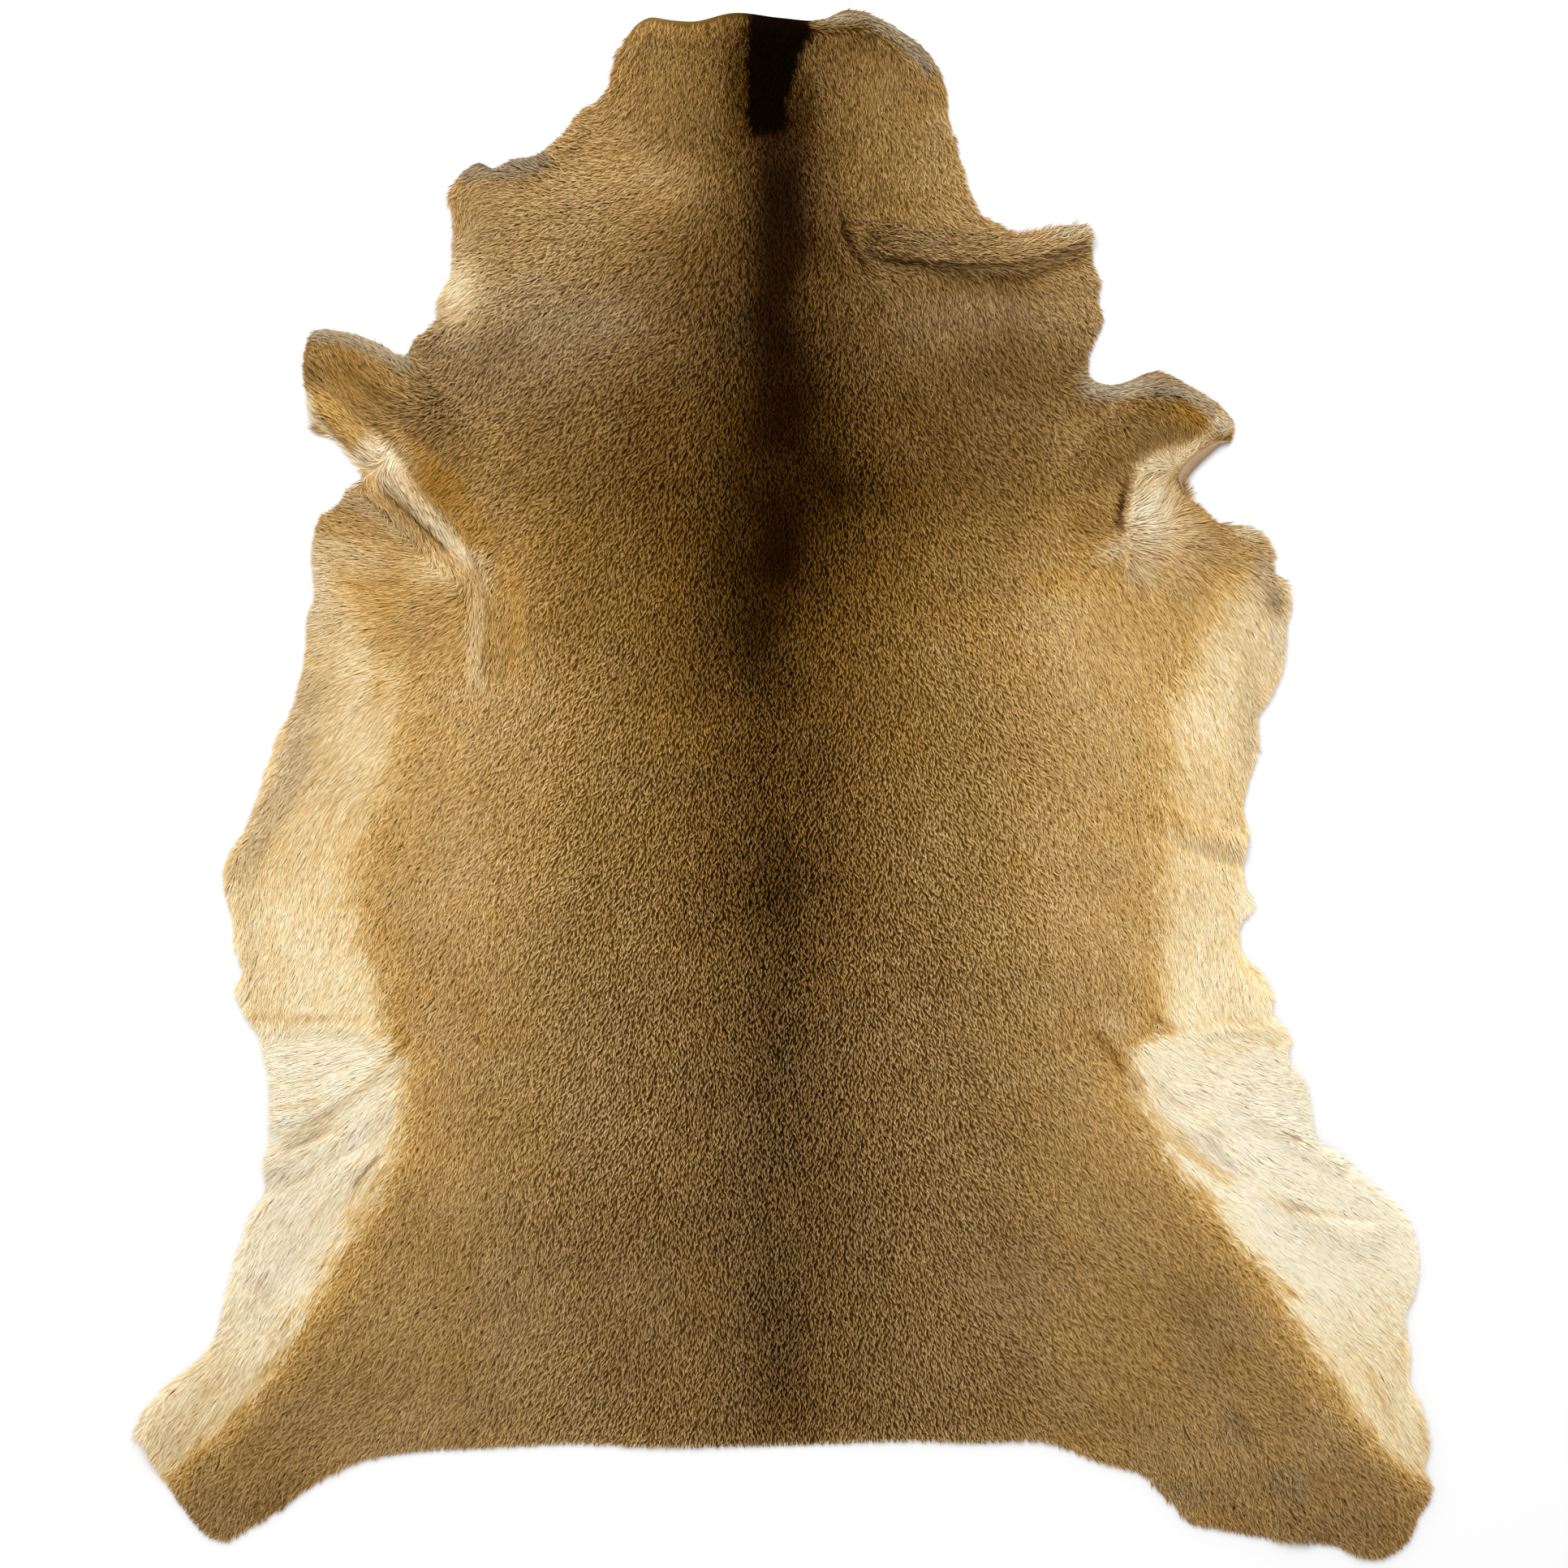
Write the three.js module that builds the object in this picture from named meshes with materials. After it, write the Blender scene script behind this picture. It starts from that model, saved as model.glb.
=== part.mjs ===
// Deerhide rug: one tanned deer hide with its hair on, lying flat with the hair up.
// Millimetres, +Z up, the neck towards +Y. The origin is on the floor, under the middle of the hide.
import * as THREE from "three";

// Driving sizes
const BODY_THICKNESS = 7; // the leather, about 2 mm, and the short hair that lies on it
const RIM_THICKNESS = 2.6; // at the rim the hair thins out to the leather
const RIM_ROUND = 15; // how far in from the rim the hair reaches its full depth
const RIM_STEP = 15; // spacing of the points along the rim
const RIM_INSET = 7.5; // the ring of points just inside the rim
const OPEN_STEP = 31; // spacing of the points where the hide lies flat
const LOW_STEP = 13; // where it is creased
const BOLD_STEP = 8.5; // and where it is folded over
const PATH_STEP = 6; // spacing of the points along a fold's path
const FOLD_MARGIN = 1.25; // how far past a fold's foot the fine points go, in half widths
const BOLD_FOLD = 7; // a fold higher than this has the finest points
const CLEAR_OF_RIM = 13; // no point in the open is nearer to the rim than this
const CLEAR_IN_FOLD = 6; // and none on a fold
const CROWDING = 0.55; // no two points are nearer than this share of their spacing
const JITTER = 0.08; // shifts each lattice point by this share of its spacing
const EVENING_ROUNDS = 3; // how often the directions that the hide faces are evened out
const EVENING_SHARE = 0.25; // and how much each neighbour counts in that

// The rim seen from above, clockwise from the top left of the neck. Each stretch is a short
// table of points, with the columns x (to the right) and y (towards the neck).
const RIM = {
  neckTop: [
    [-123, 624], [-111, 631], [-93, 629], [-73, 628], [-41, 635], [-4, 631], [29, 629],
    [51, 637], [65, 635], [89, 623], [110, 609],
  ],
  rightOfNeck: [
    [123, 594], [133, 569], [136, 546], [142, 531], [147, 511], [155, 483], [163, 469],
  ],
  pleatEnd: [
    [171, 465], [189, 456], [209, 458], [236, 463], [251, 459], [253, 444], [254, 429],
  ],
  rightShoulder: [[261, 414], [259, 401], [263, 383], [257, 367], [251, 351], [251, 336]],
  rightForeleg: [
    [268, 329], [283, 332], [299, 339], [312, 339], [331, 328], [356, 311], [365, 305],
    [374, 291], [371, 279], [356, 262], [345, 249], [336, 240], [324, 237],
  ],
  rightFlankUpper: [
    [334, 235], [356, 217], [381, 213], [393, 206], [403, 191], [403, 177], [414, 165],
    [417, 147], [414, 131], [410, 97], [398, 68], [391, 59], [390, 32], [378, -16],
    [381, -37], [378, -66], [379, -81],
  ],
  rightFlankLower: [
    [385, -96], [375, -118], [377, -137], [393, -155], [401, -173], [401, -185],
    [414, -206], [415, -227], [427, -244], [433, -269], [437, -291],
  ],
  rightHindLeg: [
    [455, -303], [489, -333], [508, -351], [517, -369], [521, -391], [518, -419],
    [511, -436], [514, -467], [514, -489], [524, -513], [530, -541], [527, -559],
    [533, -583], [523, -600], [513, -623], [493, -636], [476, -637],
  ],
  rightHock: [
    [448, -626], [416, -624], [364, -614], [331, -607], [321, -596], [301, -576],
    [295, -569], [276, -563], [251, -556], [217, -542],
  ],
  rump: [
    [156, -542], [89, -541], [33, -543], [-32, -545], [-111, -546], [-167, -543],
    [-244, -546], [-311, -550],
  ],
  leftHock: [
    [-351, -559], [-371, -569], [-392, -581], [-414, -598], [-441, -614], [-458, -623],
    [-476, -617], [-487, -605],
  ],
  leftHindLeg: [
    [-511, -571], [-525, -548], [-533, -531], [-523, -511], [-511, -497], [-484, -475],
    [-472, -462], [-465, -446], [-455, -403], [-445, -370], [-439, -354], [-427, -333],
    [-427, -309], [-423, -289], [-423, -253], [-424, -239],
  ],
  leftFlankLower: [
    [-428, -223], [-432, -205], [-444, -188], [-450, -166], [-446, -154], [-453, -129],
    [-453, -114], [-461, -75], [-456, -56], [-443, -36], [-429, 1], [-416, 41],
  ],
  leftFlankUpper: [
    [-404, 65], [-394, 103], [-391, 139], [-386, 154], [-388, 191], [-381, 219],
    [-367, 229], [-357, 244], [-347, 251],
  ],
  leftForeleg: [
    [-353, 262], [-369, 283], [-382, 289], [-390, 311], [-395, 344], [-392, 363],
    [-384, 373], [-364, 372], [-331, 361], [-313, 351],
  ],
  leftCheek: [
    [-303, 367], [-285, 385], [-284, 399], [-274, 421], [-273, 436], [-274, 467],
    [-277, 485], [-265, 503], [-251, 512], [-237, 506], [-224, 513], [-203, 517],
    [-179, 537], [-168, 552], [-147, 571], [-142, 591], [-134, 611],
  ],
};

// The folds. Each follows a path of a few points, and rises to height between its two feet,
// which are left and right of the path as one walks along it. lean pushes the crest over to
// the right, or to the left where it is negative. fadeIn and fadeOut are how far the fold
// takes to rise at its two ends, and 0 means that it runs out over the rim at full height.
// narrow is its size at the end of the path, as a share of that at the start.
const FOLDS = [
  // The pleat across the right of the neck, whose lower lip stands over the shoulder
  { path: [[58, 451], [89, 444], [123, 441], [163, 439], [199, 440], [229, 447], [258, 453]],
    left: 31, right: 15, height: 15, lean: 9, fadeIn: 30, fadeOut: 0, narrow: 0.6 },
  // The rolled rim at the top right of the neck, and the one at its top left
  { path: [[40, 626], [70, 622], [98, 606], [118, 582], [128, 552]],
    left: 14, right: 22, height: 5, lean: 0, fadeIn: 30, fadeOut: 30, narrow: 1 },
  { path: [[-252, 498], [-224, 502], [-200, 506], [-176, 524], [-150, 556]],
    left: 13, right: 18, height: 4.5, lean: 0, fadeIn: 22, fadeOut: 30, narrow: 1 },
  // The left foreleg: a half roll along its front, and its slack rear edge that laps over the flank
  { path: [[-392, 346], [-357, 342], [-324, 326], [-291, 299], [-258, 266], [-238, 238]],
    left: 27, right: 27, height: 14, lean: 0, fadeIn: 12, fadeOut: 70, narrow: 1 },
  { path: [[-388, 318], [-357, 288], [-332, 264], [-307, 238], [-281, 213], [-260, 190]],
    left: 17, right: 14, height: 12, lean: 8, fadeIn: 16, fadeOut: 26, narrow: 0.75 },
  // The ridge that runs on from the left armpit
  { path: [[-256, 208], [-242, 180], [-236, 148], [-238, 112], [-246, 78]],
    left: 18, right: 11, height: 5, lean: 3, fadeIn: 22, fadeOut: 40, narrow: 1 },
  // The right foreleg, a flatter half roll
  { path: [[366, 304], [340, 308], [308, 306], [276, 288], [246, 258], [226, 224]],
    left: 30, right: 27, height: 13, lean: 0, fadeIn: 14, fadeOut: 70, narrow: 1 },
  // The ridge of pale hair that stands over the right armpit
  { path: [[300, 262], [292, 240], [287, 214], [286, 186], [292, 156]],
    left: 26, right: 10, height: 8, lean: 6, fadeIn: 14, fadeOut: 34, narrow: 1 },
  // The crease across the left flank, and the fan of wrinkles at the stifle below it
  { path: [[-452, -190], [-422, -195], [-384, -194], [-348, -198], [-318, -212]],
    left: 14, right: 12, height: 4, lean: 0, fadeIn: 0, fadeOut: 30, narrow: 1 },
  { path: [[-298, -206], [-322, -226], [-350, -246], [-388, -266], [-430, -280]],
    left: 16, right: 13, height: 6, lean: 3, fadeIn: 26, fadeOut: 0, narrow: 1 },
  { path: [[-306, -240], [-334, -268], [-368, -292], [-404, -310], [-436, -318]],
    left: 17, right: 14, height: 6, lean: 3, fadeIn: 26, fadeOut: 0, narrow: 1 },
  { path: [[-330, -292], [-352, -316], [-380, -344], [-408, -374], [-438, -410]],
    left: 20, right: 18, height: 5, lean: 0, fadeIn: 30, fadeOut: 20, narrow: 1 },
  // The creases of the right flank
  { path: [[292, -10], [320, -28], [350, -42], [392, -54]],
    left: 14, right: 16, height: 4, lean: 0, fadeIn: 30, fadeOut: 0, narrow: 1 },
  { path: [[310, -186], [338, -202], [362, -202], [392, -204], [424, -204]],
    left: 14, right: 15, height: 4.5, lean: -2, fadeIn: 26, fadeOut: 0, narrow: 1 },
  { path: [[330, -262], [362, -292], [396, -324], [426, -350], [462, -368], [504, -374]],
    left: 17, right: 18, height: 6, lean: -3, fadeIn: 30, fadeOut: 30, narrow: 1 },
  { path: [[348, -240], [380, -266], [412, -288], [450, -308]],
    left: 15, right: 14, height: 5, lean: 0, fadeIn: 30, fadeOut: 0, narrow: 1 },
  // The long low folds down the two hind legs
  { path: [[-388, -400], [-410, -440], [-444, -478], [-484, -520], [-524, -556]],
    left: 24, right: 24, height: 4, lean: 0, fadeIn: 50, fadeOut: 0, narrow: 1 },
  { path: [[366, -496], [388, -526], [402, -556], [412, -590], [422, -636]],
    left: 22, right: 22, height: 4, lean: 0, fadeIn: 40, fadeOut: 0, narrow: 1 },
];

// The rear edge of the right foreleg is curled up and over, so that its flesh side shows. The
// hide bends to the right of this path, on a radius, until it has turned by the given angle.
// Hide further from the path than reach isn't bent, and past clear it isn't moved at all.
const CURL = {
  path: [[312, 243], [322, 252], [332, 265], [344, 278], [362, 289]],
  radius: 7, turn: 2.8, reach: 24, clear: 34, fadeIn: 16, fadeOut: 14,
};

const HIDE = new THREE.MeshStandardMaterial({ color: 0x8a6a3e, roughness: 0.9, metalness: 0 });

// A repeatable number from 0 to 1 for each whole number.
function scatter(index) {
  const value = Math.sin(index * 127.1 + 11.7) * 43758.5453;
  return value - Math.floor(value);
}

// A smooth open or closed line through the given points, cut into steps of about one size.
// The given points stay on it, so a notch keeps its sharp end.
function smoothLine(points, step, closed) {
  const corners = points.map(([x, y]) => new THREE.Vector3(x, y, 0));
  const curve = new THREE.CatmullRomCurve3(corners, closed, "centripetal");
  const spans = closed ? corners.length : corners.length - 1;
  const line = [];
  for (let i = 0; i < spans; i++) {
    const length = corners[i].distanceTo(corners[(i + 1) % corners.length]);
    const cuts = Math.max(1, Math.round(length / step));
    for (let k = 0; k < cuts; k++) line.push(curve.getPoint((i + k / cuts) / spans));
  }
  if (!closed) line.push(corners[spans].clone());
  return line.map((p) => new THREE.Vector2(p.x, p.y));
}

// Where a point lies beside a line: how far along it, and how far to its right.
function besideLine(line, x, y) {
  let best = { distance: Infinity, along: 0, right: 0 };
  let run = 0;
  for (let i = 0; i + 1 < line.length; i++) {
    const a = line[i];
    const b = line[i + 1];
    const length = a.distanceTo(b);
    const ux = (b.x - a.x) / length;
    const uy = (b.y - a.y) / length;
    const share = THREE.MathUtils.clamp((x - a.x) * ux + (y - a.y) * uy, 0, length);
    const dx = x - a.x - share * ux;
    const dy = y - a.y - share * uy;
    const distance = Math.hypot(dx, dy);
    if (distance < best.distance)
      best = { distance, along: run + share, right: Math.sign(dx * uy - dy * ux) * distance, ux, uy };
    run += length;
  }
  return { ...best, length: run };
}

// Distance from a point to a closed line.
function distanceToRing(ring, x, y) {
  return besideLine([...ring, ring[0]], x, y).distance;
}

function inside(ring, x, y) {
  let odd = false;
  for (let i = 0, j = ring.length - 1; i < ring.length; j = i++) {
    const a = ring[i];
    const b = ring[j];
    if (a.y > y !== b.y > y && x < a.x + ((y - a.y) * (b.x - a.x)) / (b.y - a.y)) odd = !odd;
  }
  return odd;
}

const foldLines = FOLDS.map((fold) => ({ ...fold, line: smoothLine(fold.path, PATH_STEP, false) }));
const curlLine = smoothLine(CURL.path, PATH_STEP, false);
// The strip of hide that the curl bends, given as a fold is, so that it gets fine points too
const CURL_REGION = { line: curlLine, left: CURL.radius, right: CURL.radius * CURL.turn, narrow: 1 };

// How far a fold or curl has risen at a place along its path, from 0 to 1.
function risen({ fadeIn, fadeOut }, place) {
  const rise = fadeIn ? THREE.MathUtils.smoothstep(place.along, 0, fadeIn) : 1;
  const rest = place.length - place.along;
  return rise * (fadeOut ? THREE.MathUtils.smoothstep(rest, 0, fadeOut) : 1);
}

// How strongly one fold lifts the hide at a point, from 0 to 1, the fold's size there, and how
// far out the point is in half widths.
function foldAt(fold, x, y) {
  const place = besideLine(fold.line, x, y);
  const size = THREE.MathUtils.lerp(1, fold.narrow, place.along / place.length);
  const reach = place.distance / (size * (place.right > 0 ? fold.right : fold.left));
  const lift = ((1 + Math.cos(Math.PI * Math.min(1, reach))) / 2) * risen(fold, place);
  return { lift, size, place, reach };
}

// Where the curl lifts the hide. It bends more gently towards its two ends.
function curled(point) {
  const place = besideLine(curlLine, point.x, point.y);
  const near = 1 - THREE.MathUtils.smoothstep(place.distance, CURL.reach, CURL.clear);
  const bend = (near * risen(CURL, place)) / CURL.radius;
  if (place.right <= 0 || bend === 0) return point;
  const angle = Math.min(bend * place.right, CURL.turn);
  const straight = place.right - angle / bend;
  const out = Math.sin(angle) / bend + straight * Math.cos(angle) - place.right;
  point.x += out * place.uy;
  point.y -= out * place.ux;
  point.z += (1 - Math.cos(angle)) / bend + straight * Math.sin(angle);
  return point;
}

// The flesh side of the hide: flat on the floor, and raised by each fold in turn.
function fleshSide(x, y) {
  const point = new THREE.Vector3(x, y, 0);
  let squared = 0;
  for (const fold of foldLines) {
    const { lift, size, place } = foldAt(fold, x, y);
    squared += (fold.height * size * lift) ** 2;
    point.x += fold.lean * size * lift * place.uy;
    point.y -= fold.lean * size * lift * place.ux;
  }
  point.z = Math.sqrt(squared);
  return curled(point);
}

// Hair depth at a distance from the rim, round like the edge of a coin.
function thicknessAt(distance) {
  const share = Math.min(1, distance / RIM_ROUND);
  return RIM_THICKNESS + (BODY_THICKNESS - RIM_THICKNESS) * Math.sqrt(1 - (1 - share) ** 2);
}

// Points of a triangular lattice over the hide, each a little off its place.
function latticePoints(ring, step, accept) {
  const box = new THREE.Box2().setFromPoints(ring);
  const points = [];
  const rowHeight = (step * Math.sqrt(3)) / 2;
  let index = 0;
  for (let row = 0; box.min.y + row * rowHeight < box.max.y; row++)
    for (let column = 0; box.min.x + column * step < box.max.x; column++) {
      index += 1;
      const x = box.min.x + (column + (row % 2) / 2 + JITTER * (scatter(index) - 0.5)) * step;
      const y = box.min.y + (row + JITTER * (scatter(index + 0.5) - 0.5)) * rowHeight;
      if (inside(ring, x, y) && accept(x, y)) points.push(new THREE.Vector2(x, y));
    }
  return points;
}

// All the points of the mesh seen from above: the rim, a ring just inside it, fine ones on
// the folds and coarse ones in the open.
function planPoints(ring) {
  const points = [...ring];
  const clear = (x, y, gap) => points.every((p) => Math.hypot(p.x - x, p.y - y) > gap);
  const onFold = (fold, x, y) => {
    const { place, reach } = foldAt(fold, x, y);
    return reach < FOLD_MARGIN && place.along > 0 && place.along < place.length;
  };
  const folded = (folds) => (x, y) =>
    distanceToRing(ring, x, y) > CLEAR_IN_FOLD && folds.some((fold) => onFold(fold, x, y));
  ring.forEach((p, i) => {
    const before = ring[(i + ring.length - 1) % ring.length];
    const after = ring[(i + 1) % ring.length];
    const way = after.clone().sub(before).normalize();
    const x = p.x + way.y * RIM_INSET;
    const y = p.y - way.x * RIM_INSET;
    if (inside(ring, x, y) && distanceToRing(ring, x, y) > CLEAR_IN_FOLD && clear(x, y, CLEAR_IN_FOLD))
      points.push(new THREE.Vector2(x, y));
  });
  const bold = foldLines.filter((fold) => fold.height > BOLD_FOLD);
  const low = foldLines.filter((fold) => fold.height <= BOLD_FOLD);
  const passes = [
    [BOLD_STEP, folded([...bold, CURL_REGION])],
    [LOW_STEP, folded(low)],
    [OPEN_STEP, (x, y) => distanceToRing(ring, x, y) > CLEAR_OF_RIM],
  ];
  for (const [step, accept] of passes)
    for (const p of latticePoints(ring, step, accept))
      if (clear(p.x, p.y, CROWDING * step)) points.push(p);
  return points;
}

// Delaunay triangles of a set of points, by adding one point at a time inside one very large
// triangle, which is dropped at the end. Each turns anticlockwise seen from above.
function delaunay(points) {
  const far = 20000;
  const outer = [[-far, -far], [far, -far], [0, far]].map(([x, y]) => new THREE.Vector2(x, y));
  const all = [...points, ...outer];
  const circle = (a, b, c) => {
    const [p, q, r] = [all[a], all[b], all[c]];
    const d = 2 * (p.x * (q.y - r.y) + q.x * (r.y - p.y) + r.x * (p.y - q.y));
    const [pp, qq, rr] = [p.lengthSq(), q.lengthSq(), r.lengthSq()];
    const x = (pp * (q.y - r.y) + qq * (r.y - p.y) + rr * (p.y - q.y)) / d;
    const y = (pp * (r.x - q.x) + qq * (p.x - r.x) + rr * (q.x - p.x)) / d;
    return { corners: [a, b, c], x, y, radiusSq: (p.x - x) ** 2 + (p.y - y) ** 2 };
  };
  const count = points.length;
  let triangles = [circle(count, count + 1, count + 2)];
  points.forEach((p, index) => {
    const hit = (t) => (p.x - t.x) ** 2 + (p.y - t.y) ** 2 < t.radiusSq;
    const edges = new Map();
    for (const t of triangles.filter(hit))
      for (let k = 0; k < 3; k++) {
        const [a, b] = [t.corners[k], t.corners[(k + 1) % 3]];
        if (!edges.delete(b + " " + a)) edges.set(a + " " + b, [a, b]);
      }
    triangles = triangles.filter((t) => !hit(t));
    for (const [a, b] of edges.values()) triangles.push(circle(a, b, index));
  });
  return triangles.map((t) => t.corners).filter((t) => t.every((corner) => corner < count));
}

// Which way the hide faces at each point: its triangles' normals, evened out with the
// neighbours' so that the hair side doesn't cross itself in a tight fold.
function faceDirections(flesh, triangles) {
  let normals = flesh.map(() => new THREE.Vector3());
  const ab = new THREE.Vector3();
  const ac = new THREE.Vector3();
  for (const [a, b, c] of triangles) {
    ab.subVectors(flesh[b], flesh[a]);
    ac.subVectors(flesh[c], flesh[a]);
    const normal = ab.cross(ac);
    for (const corner of [a, b, c]) normals[corner].add(normal);
  }
  normals.forEach((n) => n.normalize());
  for (let round = 0; round < EVENING_ROUNDS; round++) {
    const evened = normals.map((n) => n.clone());
    for (const t of triangles)
      for (const corner of t)
        for (const other of t) evened[corner].addScaledVector(normals[other], EVENING_SHARE);
    normals = evened.map((n) => n.normalize());
  }
  return normals;
}

// The whole hide as one closed body: hair side, flesh side and the thin wall round its rim.
function hideGeometry() {
  const ring = smoothLine(Object.values(RIM).flat(), RIM_STEP, true);
  const plan = planPoints(ring);
  const middle = (t, axis) => t.reduce((sum, corner) => sum + plan[corner][axis], 0) / 3;
  const triangles = delaunay(plan).filter((t) => inside(ring, middle(t, "x"), middle(t, "y")));
  const flesh = plan.map((p) => fleshSide(p.x, p.y));
  const normals = faceDirections(flesh, triangles);
  const hair = flesh.map((p, i) => {
    const depth = i < ring.length ? RIM_THICKNESS : thicknessAt(distanceToRing(ring, plan[i].x, plan[i].y));
    return p.clone().addScaledVector(normals[i], depth);
  });
  const count = plan.length;
  const faces = [];
  for (const [a, b, c] of triangles) faces.push([a, b, c], [a + count, c + count, b + count]);
  ring.forEach((_, i) => {
    const next = (i + 1) % ring.length;
    faces.push([i, next, next + count], [i, next + count, i + count]);
  });
  const geometry = new THREE.BufferGeometry().setFromPoints([...hair, ...flesh]);
  geometry.setIndex(faces.flat());
  geometry.computeVertexNormals();
  return geometry;
}

const rug = new THREE.Group();
const hide = new THREE.Mesh(hideGeometry(), HIDE);
hide.name = "hide";
rug.add(hide);

export default rug;
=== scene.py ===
"""Deerhide rug: a tanned skin with its short coat, laid flat with the hair up, on a pale studio floor.

The plan of the hide is given in millimetres, with the neck towards +Y, and every mesh is in metres.
"""

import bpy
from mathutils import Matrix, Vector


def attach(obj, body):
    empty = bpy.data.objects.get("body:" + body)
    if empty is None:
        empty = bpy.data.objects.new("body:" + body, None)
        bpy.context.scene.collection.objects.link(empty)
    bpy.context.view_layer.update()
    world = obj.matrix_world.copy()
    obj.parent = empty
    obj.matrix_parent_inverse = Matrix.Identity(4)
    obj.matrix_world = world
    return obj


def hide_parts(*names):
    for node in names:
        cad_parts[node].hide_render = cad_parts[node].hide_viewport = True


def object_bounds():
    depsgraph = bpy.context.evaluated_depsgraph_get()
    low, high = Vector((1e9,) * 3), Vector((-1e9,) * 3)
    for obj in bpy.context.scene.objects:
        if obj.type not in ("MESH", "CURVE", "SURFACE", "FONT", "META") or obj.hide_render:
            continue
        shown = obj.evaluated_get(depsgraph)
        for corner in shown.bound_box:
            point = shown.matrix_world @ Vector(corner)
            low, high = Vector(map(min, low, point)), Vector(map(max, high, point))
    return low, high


bl_info = {
    "name": "Deerhide Rug",
    "version": (1, 0, 0),
    "blender": (4, 5, 0),
    "location": "View3D > Sidebar > Deerhide",
    "description": "Builds a deerhide rug with its folds, its coat and its colours",
    "category": "Object",
}

import bpy
import numpy as np
from mathutils import Vector
from mathutils.geometry import delaunay_2d_cdt

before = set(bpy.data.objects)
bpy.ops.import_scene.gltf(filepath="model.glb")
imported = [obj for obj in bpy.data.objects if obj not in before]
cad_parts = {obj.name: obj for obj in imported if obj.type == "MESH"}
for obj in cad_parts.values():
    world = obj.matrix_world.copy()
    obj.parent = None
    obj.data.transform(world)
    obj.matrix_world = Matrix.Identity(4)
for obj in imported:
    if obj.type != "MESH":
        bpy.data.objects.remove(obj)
CAD_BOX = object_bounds()
MM = 0.001

# The hide's outline seen from above, clockwise from the top left of the neck.
# Each stretch has the columns x (to the right) and y (towards the neck).
RIM = {
    "neck_top": [
        (-123, 624), (-111, 631), (-93, 629), (-73, 628), (-41, 635), (-4, 631), (29, 629),
        (51, 637), (65, 635), (89, 623), (110, 609),
    ],
    "right_of_neck": [
        (123, 594), (133, 569), (136, 546), (142, 531), (147, 511), (155, 483), (163, 469),
    ],
    "pleat_end": [
        (171, 465), (189, 456), (209, 458), (236, 463), (251, 459), (253, 444), (254, 429),
    ],
    "right_shoulder": [(261, 414), (259, 401), (263, 383), (257, 367), (251, 351), (251, 336)],
    "right_foreleg": [
        (268, 329), (283, 332), (299, 339), (312, 339), (331, 328), (356, 311), (365, 304),
        (369, 296), (369, 285), (366, 275), (360, 265), (353, 256), (346, 247), (338, 240), (329, 236),
    ],
    "right_flank_upper": [
        (337, 233), (356, 217), (381, 213), (393, 206), (403, 191), (403, 177), (414, 165),
        (417, 147), (414, 131), (410, 97), (398, 68), (391, 59), (390, 32), (378, -16),
        (381, -37), (378, -66), (379, -81),
    ],
    "right_flank_lower": [
        (385, -96), (375, -118), (377, -137), (393, -155), (401, -173), (401, -185),
        (414, -206), (415, -227), (427, -244), (433, -269), (437, -291),
    ],
    "right_hind_leg": [
        (455, -303), (489, -333), (508, -351), (517, -369), (521, -391), (518, -419),
        (511, -436), (514, -467), (514, -489), (524, -513), (530, -541), (527, -559),
        (533, -583), (523, -600), (513, -623), (493, -636), (476, -637),
    ],
    "right_hock": [
        (448, -626), (416, -624), (364, -614), (331, -607), (321, -596), (301, -576),
        (295, -569), (276, -563), (251, -556), (217, -542),
    ],
    "rump": [
        (156, -542), (89, -541), (33, -543), (-32, -545), (-111, -546), (-167, -543),
        (-244, -546), (-311, -550),
    ],
    "left_hock": [
        (-351, -559), (-371, -569), (-392, -581), (-414, -598), (-441, -614), (-458, -623),
        (-476, -617), (-487, -605),
    ],
    "left_hind_leg": [
        (-511, -571), (-525, -548), (-533, -531), (-523, -511), (-511, -497), (-484, -475),
        (-472, -462), (-465, -446), (-455, -403), (-445, -370), (-439, -354), (-427, -333),
        (-427, -309), (-423, -289), (-423, -253), (-424, -239),
    ],
    "left_flank_lower": [
        (-428, -223), (-432, -205), (-444, -188), (-450, -166), (-446, -154), (-453, -129),
        (-453, -114), (-461, -75), (-456, -56), (-443, -36), (-429, 1), (-416, 41),
    ],
    "left_flank_upper": [
        (-404, 65), (-394, 103), (-391, 139), (-386, 154), (-388, 191), (-381, 219),
        (-367, 229), (-357, 244), (-347, 251),
    ],
    "left_foreleg": [
        (-353, 262), (-369, 283), (-382, 289), (-390, 311), (-395, 344), (-392, 363),
        (-384, 373), (-364, 372), (-331, 361), (-313, 351),
    ],
    "left_cheek": [
        (-303, 367), (-285, 385), (-284, 399), (-274, 421), (-273, 436), (-274, 467),
        (-277, 485), (-265, 503), (-251, 512), (-237, 506), (-224, 513), (-203, 517),
        (-179, 537), (-168, 552), (-147, 571), (-142, 591), (-134, 611),
    ],
}

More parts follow.
